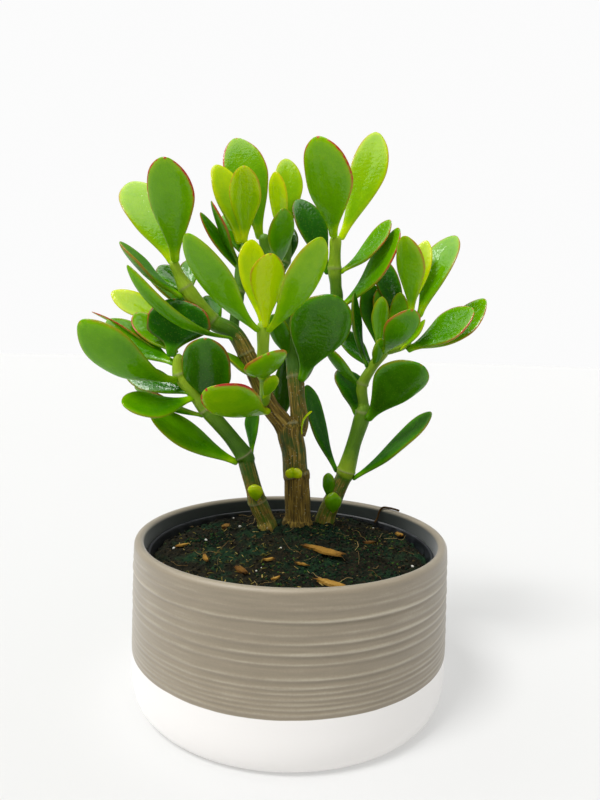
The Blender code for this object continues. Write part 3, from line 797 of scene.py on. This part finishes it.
def potOutline():
    look = coverPot
    rim, belly, height, wall = look["rimRadius"], look["bellyRadius"], look["height"], look["wall"]
    outline = [(0, 0), (20, 0), (45, 0), (62, 0), (66.5, 0.5), (68.3, 0.0), (look["footRadius"], 0.1),
               (71.3, 0.6), (72.6, 1.6), (73.8, 3.2), (74.7, 5.4), (75.4, 8.4), (75.8, 11.2)]
    outline += [(belly, z) for z in (14.0, 17.0, 20.0, 22.5)]
    for z in np.arange(look["bellyTop"], height - 3.4, look["wallStep"]):
        share = (z - look["bellyTop"]) / (height - look["bellyTop"])
        outline.append((belly + (rim - belly) * share, z))
    for turn in np.linspace(0, math.pi, 15):
        outline.append((rim - wall / 2 + math.cos(turn) * wall / 2,
                        height - look["rimRound"] + math.sin(turn) * look["rimRound"]))
    # The inside wall leans in a little on its way down and rounds into the floor.
    outline += [(rim - wall - lean, z) for lean, z in (
        (0, 70.0), (0.1, 66.0), (0.2, 60.0), (0.3, 45.0), (0.4, 28.0), (0.6, 13.0), (2.0, 8.6),
        (5.0, look["floor"]))]
    return outline + [(40, look["floor"]), (0, look["floor"])]


# Draws an outline in edit mode, point by point, and spins it round the upright axis.
def spinOutline(outline, steps):
    deselectAll()
    bpy.ops.mesh.primitive_plane_add(size=1)
    piece = bpy.context.object
    bpy.ops.object.mode_set(mode="EDIT")
    bpy.ops.mesh.select_mode(type="VERT")
    bpy.ops.mesh.select_all(action="SELECT")
    bpy.ops.mesh.merge(type="CENTER")
    bpy.ops.transform.translate(value=(outline[0][0] * mm, 0, outline[0][1] * mm))
    for (x, z), (nextX, nextZ) in zip(outline, outline[1:]):
        bpy.ops.mesh.extrude_vertices_move(
            TRANSFORM_OT_translate={"value": ((nextX - x) * mm, 0, (nextZ - z) * mm)})
    bpy.ops.mesh.select_all(action="SELECT")
    bpy.ops.mesh.spin(steps=steps, angle=2 * math.pi, center=(0, 0, 0), axis=(0, 0, 1))
    bpy.ops.mesh.select_all(action="SELECT")
    bpy.ops.mesh.remove_doubles(threshold=weldGap)
    finishEdit()
    return piece


def buildPot(material):
    look = coverPot
    piece = spinOutline(potOutline(), look["steps"])
    points = readPoints(piece.data)
    radius = np.hypot(points[:, 0], points[:, 1]) / mm
    height = points[:, 2] / mm
    angle = np.arctan2(points[:, 1], points[:, 0])
    outside = (radius > look["rimRadius"] - 0.6) & (height > look["bellyTop"])
    ridge = np.zeros(len(points))
    for index, (level, strength) in enumerate(look["ridges"]):
        # Each throwing ridge climbs a little and fades in and out on its way round.
        lift = 0.1 * np.sin(angle + index * 1.9) + 0.05 * np.sin(2 * angle + index)
        fade = 0.72 + 0.28 * np.sin(angle * (1 + index % 3) + index * 2.3)
        rise = height - level - lift
        groove = np.exp(-((rise + look["grooveBelow"]) / look["ridgeWidth"]) ** 2)
        ridge += strength * fade * (np.exp(-(rise / look["ridgeWidth"]) ** 2)
                                    - look["grooveShare"] * groove)
    ridge *= smoothStep(look["bellyTop"], look["bellyTop"] + 2.5, height)
    ridge = np.where(outside, ridge, 0)
    grown = (radius + ridge) / np.maximum(radius, 1e-9)
    points[:, 0] *= grown
    points[:, 1] *= grown
    writePoints(piece.data, points)
    storeValues(piece.data, "ridge", ridge / look["strongest"] * 0.5)
    slate = 1 - smoothStep(look["slateFull"], look["slateFrom"], height)
    nearWall = radius < look["rimRadius"] - look["wall"] + 1.5
    storeValues(piece.data, "inside", np.where(nearWall, slate, 0) * (height > 0.9))
    setPiece(piece, "cover_pot", material, ("pot",))


buildPot(makePotMaterial())
print("cover pot: %d ridges" % len(coverPot["ridges"]))


# Nursery pot: injection-moulded black polypropylene, slightly blue, with a rolled lip.
nurseryPot = {"lipRadius": 69.2, "lipRound": 0.9, "top": 69.0, "wall": 1.2,
              "footRadius": 58.0, "foot": 6.3, "floorTop": 7.8, "steps": 144,
              "colour": "#15181c", "scuff": "#2b2f33"}


def makeNurseryMaterial():
    material, tree, shader = startMaterial("black polypropylene, moulded", {
        "Roughness": 0.42, "IOR": 1.49, "Specular IOR Level": 0.5})
    place = addNode(tree, "TexCoord").outputs["Object"]
    dust = addNode(tree, "TexNoise", {}, {"Vector": place, "Scale": 1 / (4 * mm), "Detail": 6.0})
    share = addNode(tree, "MapRange", {}, {"Value": dust, "From Min": 0.45, "From Max": 0.75})
    colour = addNode(tree, "Mix", colourMix, {
        0: share, 6: nurseryPot["colour"], 7: nurseryPot["scuff"]})
    setInputs(tree, shader, {"Base Color": colour})
    rough = addNode(tree, "MapRange", {}, {"Value": share, "To Min": 0.35, "To Max": 0.65})
    setInputs(tree, shader, {"Roughness": rough})
    grain = addNode(tree, "Bump", {}, {"Height": dust, "Strength": 0.15, "Distance": 0.1 * mm})
    setInputs(tree, shader, {"Normal": grain})
    return material


def buildNurseryPot(material):
    look = nurseryPot
    lip, foot, footRadius, bead = look["lipRadius"], look["foot"], look["footRadius"], look["lipRound"]
    outline = [(0, foot), (50, foot), (footRadius - 1, foot), (footRadius, foot + 1), (66.9, 62.0),
               (67.3, 64.6), (lip - 0.4, 64.8), (lip, 65.4), (lip, 66.8), (lip, 68.0)]
    for turn in np.linspace(0.15, math.pi - 0.15, 7):
        outline.append((lip - bead + math.cos(turn) * bead, look["top"] - bead + math.sin(turn) * bead))
    inner = footRadius - look["wall"]
    outline += [(67.2, 67.0), (66.6, 64.0), (62.0, 36.0), (inner, look["floorTop"] + 1.1),
                (inner - 1.4, look["floorTop"]), (40, look["floorTop"]), (0, look["floorTop"])]
    setPiece(spinOutline(outline, look["steps"]), "nursery_pot", material, ("grow_pot",))


buildNurseryPot(makeNurseryMaterial())
print("nursery pot: lip at %.1f mm" % nurseryPot["top"])


# Potting mix: damp black peat with green algae and moss, rough at every scale.
soilLook = {
    "edgeHeight": 66.0, "mound": 6.5, "moundSpread": 34.0, "moundCentre": (2.0, 27.0),
    "radius": 66.0, "foot": 9.0, "footRadius": 57.0, "cells": 170,
    "edgeFrom": 0.93, "edgeFall": 1.6, "skirt": 8,    # the rim of the soil sags and turns down
    # size and height in millimetres of each roughness, and how far the whole settles
    "broad": (17.0, 1.0), "clods": (5.2, 2.6), "grit": (1.9, 0.75), "dust": (0.9, 0.3), "settle": 0.8,
    "peat": ((0.0, "#060706"), (0.45, "#13140e"), (0.65, "#2b2518"), (1.0, "#5e4c30")),
    "moss": ((0.0, "#061109"), (0.5, "#13281a"), (1.0, "#3f6030")),
}


def soilHeight(x, y):
    look = soilLook
    spread = math.hypot(x - look["moundCentre"][0], y - look["moundCentre"][1])
    smooth = look["edgeHeight"] + look["mound"] / (1 + (spread / look["moundSpread"]) ** 4)
    broad, clods, grit, dust = (
        look[key][1] * noise.noise(Vector((x, y, 0)) / look[key][0] + Vector(shift))
        for key, shift in (("broad", (3, 1, 0)), ("clods", (9, 4, 0)), ("grit", (5, 8, 0)),
                           ("dust", (0, 0, 0))))
    return smooth + broad + abs(clods) - look["settle"] + grit + dust


def makeSoilMaterial():
    look = soilLook
    material, tree, shader = startMaterial("potting mix, damp peat with moss", {
        "Roughness": 0.85, "IOR": 1.4, "Specular IOR Level": 0.1})
    place = addNode(tree, "TexCoord").outputs["Object"]
    grains = addNode(tree, "TexNoise", {}, {
        "Vector": place, "Scale": 1 / (1.6 * mm), "Detail": 6.0, "Roughness": 0.7})
    patches = addNode(tree, "TexNoise", {}, {
        "Vector": place, "Scale": 1 / (22 * mm), "Detail": 5.0, "Roughness": 0.65})
    bits = addNode(tree, "TexVoronoi", {}, {"Vector": place, "Scale": 1 / (1.3 * mm)})
    peat = addNode(tree, "ValToRGB", {"stops": look["peat"]}, {"Fac": grains})
    moss = addNode(tree, "ValToRGB", {"stops": look["moss"]}, {"Fac": grains})
    mossy = addNode(tree, "MapRange", eased, {"Value": patches, "From Min": 0.47, "From Max": 0.62})
    ground = addNode(tree, "Mix", colourMix, {0: mossy, 6: peat, 7: moss})
    paleBits = addNode(tree, "MapRange", {}, {
        "Value": bits.outputs["Color"], "From Min": 0.86, "From Max": 0.95, "To Min": 0.0, "To Max": 0.4})
    littered = addNode(tree, "Mix", colourMix, {0: paleBits, 6: ground, 7: "#5f4c2c"})
    setInputs(tree, shader, {"Base Color": littered})
    relief = addNode(tree, "Bump", {}, {"Height": grains, "Strength": 0.9, "Distance": 0.8 * mm})
    setInputs(tree, shader, {"Normal": relief})
    return material


def buildSoil(material):
    look = soilLook
    deselectAll()
    bpy.ops.mesh.primitive_grid_add(x_subdivisions=look["cells"], y_subdivisions=look["cells"], size=2)
    piece = bpy.context.object
    flat = readPoints(piece.data)
    u, v = flat[:, 0], flat[:, 1]
    x = u * np.sqrt(1 - v * v / 2) * look["radius"]
    y = v * np.sqrt(1 - u * u / 2) * look["radius"]
    fall = smoothStep(look["edgeFrom"], 1.0, np.hypot(x, y) / look["radius"])
    z = np.array([soilHeight(a, b) for a, b in zip(x, y)]) - look["edgeFall"] * fall
    writePoints(piece.data, np.stack((x, y, z), axis=1) * mm)
    editAll()
    selectOpenEdges()
    for drop in (-look["skirt"], look["foot"] - look["edgeHeight"] + look["skirt"]):
        bpy.ops.mesh.extrude_edges_move(TRANSFORM_OT_translate={"value": (0, 0, drop * mm)})
    shrink = look["footRadius"] / look["radius"]
    bpy.ops.transform.resize(value=(shrink, shrink, 0), center_override=(0, 0, look["foot"] * mm))
    bpy.ops.mesh.edge_face_add()
    finishEdit()
    setPiece(piece, "potting_mix", material, ("soil",))


buildSoil(makeSoilMaterial())
print("soil: surface of %d cells across" % soilLook["cells"])


# Copies one small shape many times, each turned, stretched and set on the soil.
def scatter(name, spots, material, detail=1):
    deselectAll()
    bpy.ops.mesh.primitive_ico_sphere_add(subdivisions=detail, radius=1)
    seedPiece = bpy.context.object
    shape = readPoints(seedPiece.data)
    faces = [tuple(p.vertices) for p in seedPiece.data.polygons]
    bpy.data.objects.remove(seedPiece)
    points, allFaces, tints = [], [], []
    for x, y, size, stretch, sink, tint in spots:
        lumps = 1 + 0.3 * np.array([noise.noise(Vector(p) * 1.4 + Vector((x, y, size))) for p in shape])
        spin = np.array(Euler((picker.uniform(-0.6, 0.6), picker.uniform(-0.6, 0.6),
                               picker.uniform(0, fullTurn))).to_matrix())
        lump = (shape * lumps[:, None] * np.array(stretch) * size) @ spin.T
        offset = len(points) * len(shape)
        points.append(lump + np.array((x, y, soilHeight(x, y) + size * sink)))
        allFaces += [tuple(i + offset for i in face) for face in faces]
        tints.append(np.full(len(shape), tint))
    piece = loosePiece(name, np.concatenate(points) * mm, allFaces)
    storeValues(piece.data, "tint", np.concatenate(tints))
    setPiece(piece, name, material)


def makeLitterMaterial(name, stops, grain, roughness):
    material, tree, shader = startMaterial(name, {"Roughness": roughness, "Specular IOR Level": 0.12})
    place = addNode(tree, "TexCoord").outputs["Object"]
    tint = addNode(tree, "Attribute", {"attribute_name": "tint"}).outputs["Fac"]
    mottle = addNode(tree, "TexNoise", {}, {"Vector": place, "Scale": 1 / grain, "Detail": 4.0})
    level = addNode(tree, "Math", multiplyAdd, {0: mottle, 1: 0.5, 2: tint})
    colour = addNode(tree, "ValToRGB", {"stops": stops}, {"Fac": level})
    setInputs(tree, shader, {"Base Color": colour})
    relief = addNode(tree, "Bump", {}, {"Height": mottle, "Strength": 0.5, "Distance": 0.3 * mm})
    setInputs(tree, shader, {"Normal": relief})
    return material


picker = random.Random(41)
fullTurn = 6.28


def spotInDisc(radius, centre=(0, 0)):
    turn, share = picker.uniform(0, 2 * math.pi), math.sqrt(picker.random())
    return centre[0] + radius * share * math.cos(turn), centre[1] + radius * share * math.sin(turn)


# Spots in round patches that take turns, as far out as the edge. Tint is a power and a reach.
def spotsInPatches(look):
    spots = []
    for index in range(look["count"]):
        px, py, reach = look["patches"][index % len(look["patches"])]
        x, y = spotInDisc(reach, (px, py))
        if math.hypot(x, y) < look["edge"]:
            spots.append((x, y, picker.uniform(*look["size"]), look["stretch"], look["sink"],
                          picker.random() ** look["tint"][0] * look["tint"][1]))
    return spots


# Loose matter on the soil, in millimetres. Each spot is a place, size, stretch, sink and tint.
crumbs = {"count": 1700, "edge": 64.5, "size": (0.3, 1.05), "broad": (0.4, 0.8), "thick": (0.3, 0.6),
          "sink": 0.2, "tint": (4, 0.62)}
straws = {"count": 380, "edge": 62, "size": (0.6, 1.9), "stretch": (1, 0.14, 0.1), "sink": 0.25,
          "tint": (1, 0.75), "patches": ((-34, 5, 28), (-20, -25, 26), (30, 30, 26), (0, 0, 62))}
mossTufts = {"count": 1900, "edge": 64, "size": (0.25, 0.7), "stretch": (1, 1, 0.8), "sink": 0.3,
             "tint": (2, 0.6), "patches": ((20, -4, 26), (32, -22, 24), (38, 14, 20), (4, -34, 20),
                                           (14, 14, 12), (-42, 10, 12))}
perliteGrains = {"stretch": (1, 0.85, 0.75), "sink": 0.5, "tint": (0.2, 0.6), "places": (
    (-27.7, 25.9, 0.95), (-43.5, 10.4, 0.8), (-58, 1, 0.7), (-12.7, -27.3, 0.6), (-8.7, -25.7, 0.55),
    (-15, -29, 0.5), (57, -18, 0.7), (-5, -5, 0.6), (3, 24, 0.5), (-33, 44, 0.6), (20, 50, 0.7),
    (45, 40, 0.5), (-10, 52, 0.6))}

crumbSpots = []
for _ in range(crumbs["count"]):
    x, y = spotInDisc(crumbs["edge"])
    crumbSpots.append((x, y, picker.uniform(*crumbs["size"]),
                       (1, picker.uniform(*crumbs["broad"]), picker.uniform(*crumbs["thick"])),
                       crumbs["sink"], picker.random() ** crumbs["tint"][0] * crumbs["tint"][1]))
peatCrumb = makeLitterMaterial("peat crumbs, dry and fibrous", (
    (0.0, "#080907"), (0.45, "#16150e"), (0.75, "#40351f"), (1.0, "#80683c")), 1.2 * mm, 0.9)
scatter("soil_crumbs", crumbSpots, peatCrumb)

dryStraw = makeLitterMaterial("straw and moss stalks, dry", (
    (0.0, "#1d1f0a"), (0.4, "#47481a"), (0.75, "#7d6f2e"), (1.0, "#c2a962")), 1.0 * mm, 0.85)
scatter("straw_bits", spotsInPatches(straws), dryStraw)

mossSpots = spotsInPatches(mossTufts)
greenMoss = makeLitterMaterial("moss, short damp cushions", (
    (0.0, "#040f0a"), (0.5, "#0c2216"), (0.8, "#24441c"), (1.0, "#62802c")), 0.8 * mm, 0.95)
scatter("moss", mossSpots, greenMoss)

perliteSpots = [(x, y, size, perliteGrains["stretch"], perliteGrains["sink"],
                 picker.uniform(*perliteGrains["tint"])) for x, y, size in perliteGrains["places"]]
whitePerlite = makeLitterMaterial("perlite, expanded glass grains", (
    (0.0, "#b8b4a8"), (1.0, "#f4f1e8")), 0.5 * mm, 0.8)
scatter("perlite", perliteSpots, whitePerlite, detail=2)
print("litter: %d crumbs, %d moss tufts, %d perlite grains"
      % (len(crumbSpots), len(mossSpots), len(perliteSpots)))


# Bark chips: flat splinters with torn ends. Place, length, width, thickness, turn, tint.
barkChips = {
    "chip_large": (15.5, -9.0, 20, 5.4, 1.3, -38, 0.4),
    "chip_front": (18.0, -44.0, 14, 4.2, 1.2, -36, 0.5),
    "chip_left": (-21.8, -30.0, 9, 3.4, 1.2, -60, 0.15),
    "chip_small_1": (-39.6, -18.0, 9, 1.9, 0.8, -75, 0.4),
    "chip_small_2": (-54.0, 3.0, 7, 2.0, 0.9, 40, 0.45),
    "chip_small_3": (58.0, 30.0, 5.5, 3.0, 1.2, -70, 0.5),
    "chip_small_4": (-10.0, -19.0, 5, 2.0, 0.9, 20, 0.5),
    "chip_small_5": (5.5, -25.0, 6, 1.8, 0.8, -20, 0.4),
    "chip_small_6": (-35.5, 28.0, 7, 3.6, 2.0, 75, 0.35),
    "chip_small_7": (40.0, 12.0, 6, 2.6, 1.0, 10, 0.1),
    "chip_small_8": (-6.0, -40.0, 5, 1.6, 0.8, 50, 0.5),
}
splinterBark = makeLitterMaterial("bark chips, torn pine bark", (
    (0.0, "#2a1b0b"), (0.4, "#64441a"), (0.72, "#9a732e"), (1.0, "#c9a55c")), 1.1 * mm, 0.85)


# How a splinter is shaped: cuts across the blank, how ragged its ends are, how much it tapers in
# width and thickness, how it is knobbly and bent, and how dark its damp ends are.
chipForm = {"cuts": 7, "ragged": 0.3, "taper": 1.2, "thin": 0.9, "knobs": 0.35, "lift": 0.5,
            "waver": 0.55, "sink": 0.35, "dampEnds": 0.35, "bevel": 0.12}


def buildChip(name, x, y, length, width, thick, turn, tint):
    form = chipForm
    deselectAll()
    bpy.ops.mesh.primitive_cube_add(size=1)
    chip = bpy.context.object
    editAll()
    bpy.ops.transform.resize(value=(length * mm, width * mm, thick * mm), center_override=(0, 0, 0))
    bpy.ops.mesh.subdivide(number_cuts=form["cuts"])
    bpy.ops.object.mode_set(mode="OBJECT")
    points = readPoints(chip.data) / mm
    for point in points:
        share = point[0] / length
        ragged = noise.noise(Vector((point[1] * 1.3, point[2], length)))
        point[0] += form["ragged"] * length * ragged * abs(share) * 2
        point[1] *= 1 - form["taper"] * abs(share) ** 1.6
        point[2] *= 1 - form["thin"] * abs(share) ** 2
        knob = noise.noise(Vector((point[0] / 2.4, point[1] / 1.1, x)))
        point[2] += form["knobs"] * knob + form["lift"] * share ** 2 * thick
        point[1] += form["waver"] * noise.noise(Vector((point[0] / 1.6, x, y)))
    angle = math.radians(turn)
    turned = points @ np.array(Matrix.Rotation(angle, 3, "Z")).T
    ground = [soilHeight(x + math.cos(angle) * reach, y + math.sin(angle) * reach)
              for reach in (-0.4 * length, 0, 0.4 * length)]
    turned += np.array((x, y, max(ground) + form["sink"] * thick))
    writePoints(chip.data, turned * mm)
    # Torn ends are dark where they stayed damp.
    ends = np.abs(turned - turned.mean(0)).max(axis=1) / (0.5 * length)
    storeValues(chip.data, "tint", tint - form["dampEnds"] * smoothStep(0.5, 1.0, ends))
    applyModifier(chip, "BEVEL", width=form["bevel"] * mm, segments=1, limit_method="ANGLE",
                  angle_limit=0.9)
    setPiece(chip, name, splinterBark)


for chipName, chipValues in barkChips.items():
    buildChip(chipName, *chipValues)
print("bark chips: %d" % len(barkChips))


# Root hairs and one dry fibre: thin curves turned to tubes.
def drawFibre(points, radius, tint):
    deselectAll()
    bpy.ops.curve.primitive_bezier_curve_add()
    curve = bpy.context.object
    spline = curve.data.splines[0]
    spline.bezier_points.add(len(points) - 2)
    for knot, point in zip(spline.bezier_points, points):
        knot.co = Vector(point) * mm
        knot.handle_left_type = knot.handle_right_type = "AUTO"
    curve.data.bevel_depth = radius * mm
    curve.data.bevel_resolution = 1
    curve.data.resolution_u = 6
    curve.data.use_fill_caps = True
    bpy.ops.object.convert(target="MESH")
    fibre = bpy.context.object
    storeValues(fibre.data, "tint", np.full(len(fibre.data.vertices), tint))
    return fibre


dryFibre = makeLitterMaterial("root hairs, dry and papery", (
    (0.0, "#2c1d10"), (0.5, "#5d4423"), (1.0, "#b59a63")), 2.0 * mm, 0.8)
rootHairs = {"count": 30, "spread": 60, "length": (5, 16), "radius": (0.06, 0.12), "bend": 0.7,
             "edge": 63, "above": (0.3, 1.5), "tint": (0.2, 0.8)}
hairs = []
for index in range(rootHairs["count"]):
    x, y = spotInDisc(rootHairs["spread"])
    turn, length = picker.uniform(0, fullTurn), picker.uniform(*rootHairs["length"])
    knots = []
    for step in range(5):
        reach = length * (step / 4 - 0.5)
        bend = rootHairs["bend"] * math.sin(step * 1.3 + index)
        hx = x + math.cos(turn) * reach - math.sin(turn) * bend
        hy = y + math.sin(turn) * reach + math.cos(turn) * bend
        shrink = min(1, rootHairs["edge"] / max(math.hypot(hx, hy), 1))
        hx, hy = hx * shrink, hy * shrink
        knots.append((hx, hy, soilHeight(hx, hy) + picker.uniform(*rootHairs["above"])))
    hairs.append(drawFibre(knots, picker.uniform(*rootHairs["radius"]), picker.uniform(*rootHairs["tint"])))
setPiece(joinPieces(hairs), "root_hairs", dryFibre)

rimFibre = {"radius": 0.6, "tint": 0.05, "points": (
    (46.5, 46.5, 68.4), (48.2, 48.6, 70.5), (49.4, 49.2, 74.2), (51.0, 49.6, 76.3), (54.4, 48.0, 76.7),
    (57.4, 45.4, 76.7), (59.4, 43.0, 76.6))}
setPiece(drawFibre(rimFibre["points"], rimFibre["radius"], rimFibre["tint"]),
         "rim_fibre", dryFibre)
print("fibres: %d" % (len(hairs) + 1))


# Studio: a pale floor, a soft bright surround that is dimmer on the camera's side, and a wide
# soft top light. What the camera sees of the surround is one flat value.
studio = {
    "floorRadius": 6.0, "floorColour": "#b4b4b3", "floorGlow": 0.75,
    "surround": 0.6, "towardsBack": 0.3, "towardsTop": 0.2, "shown": 0.97,
    "glossShare": 0.3, "softBox": 4.0, "softBoxFrom": (-0.33, -0.12, 0.94), "softBoxEdge": (0.66, 0.8),
    "topLight": 2.2, "topLightAngle": 20, "topLightTilt": (20, -25, 0),
}
deselectAll()
bpy.ops.mesh.primitive_circle_add(vertices=96, radius=studio["floorRadius"], fill_type="NGON")
floor = bpy.context.object
floor.name = "studio_floor"
floorMaterial, floorTree, floorShader = startMaterial("matt white paper sweep", {
    "Base Color": studio["floorColour"], "Roughness": 0.95, "Specular IOR Level": 0.1,
    "Emission Color": studio["floorColour"], "Emission Strength": studio["floorGlow"]})
floor.data.materials.append(floorMaterial)

world = bpy.data.worlds.new("studio surround")
bpy.context.scene.world = world
world.use_nodes = True
worldTree = world.node_tree
background = worldTree.nodes["Background"]
direction = addNode(worldTree, "TexCoord").outputs["Generated"]
parts = addNode(worldTree, "SeparateXYZ", {}, {0: direction})
backward = addNode(worldTree, "Math", multiplyAdd, {
    0: parts.outputs["Y"], 1: studio["towardsBack"], 2: studio["surround"]})
upward = addNode(worldTree, "Math", multiplyAdd, {
    0: parts.outputs["Z"], 1: studio["towardsTop"], 2: backward})
paths = addNode(worldTree, "LightPath").outputs
# Sheens come from one soft box overhead, and the rest of the surround is dim to them, so that
# the greens keep their depth.
towardsBox = addNode(worldTree, "VectorMath", {"operation": "DOT_PRODUCT"}, {
    0: direction, 1: studio["softBoxFrom"]})
softBox = addNode(worldTree, "MapRange", eased, {
    "Value": towardsBox, "From Min": studio["softBoxEdge"][0], "From Max": studio["softBoxEdge"][1],
    "To Min": 0.0, "To Max": studio["softBox"]})
sheen = addNode(worldTree, "Math", multiplyAdd, {0: upward, 1: studio["glossShare"], 2: softBox})
lit = addNode(worldTree, "Mix", valueMix, {0: paths["Is Glossy Ray"], 2: upward, 3: sheen})
strength = addNode(worldTree, "Mix", valueMix, {0: paths["Is Camera Ray"], 2: lit, 3: studio["shown"]})
setInputs(worldTree, background, {"Color": "#ffffff", "Strength": strength})

topLight = bpy.data.lights.new("top_light", "SUN")
topLight.energy = studio["topLight"]
topLight.angle = math.radians(studio["topLightAngle"])
topLamp = bpy.data.objects.new("top_light", topLight)
topLamp.rotation_euler = [math.radians(a) for a in studio["topLightTilt"]]
bpy.context.scene.collection.objects.link(topLamp)
bpy.context.scene.view_settings.view_transform = "Standard"

cameraSetup = {"place": (2.64, -310.09, 169.45), "lens": 28.996, "lookDown": 0.0908, "roll": 0.0247}
cameraData = bpy.data.cameras.new("camera")
cameraData.lens = cameraSetup["lens"]
cameraData.sensor_width = 36
cameraData.clip_start = 0.01
camera = bpy.data.objects.new("camera", cameraData)
turnDown = Matrix.Rotation(math.pi / 2 - cameraSetup["lookDown"], 3, "X")
camera.matrix_world = Matrix.Translation(Vector(cameraSetup["place"]) * mm) @ (
    turnDown @ Matrix.Rotation(cameraSetup["roll"], 3, "Z")).to_4x4()
bpy.context.scene.collection.objects.link(camera)
bpy.context.scene.camera = camera
print("studio: floor, surround, top light and camera")
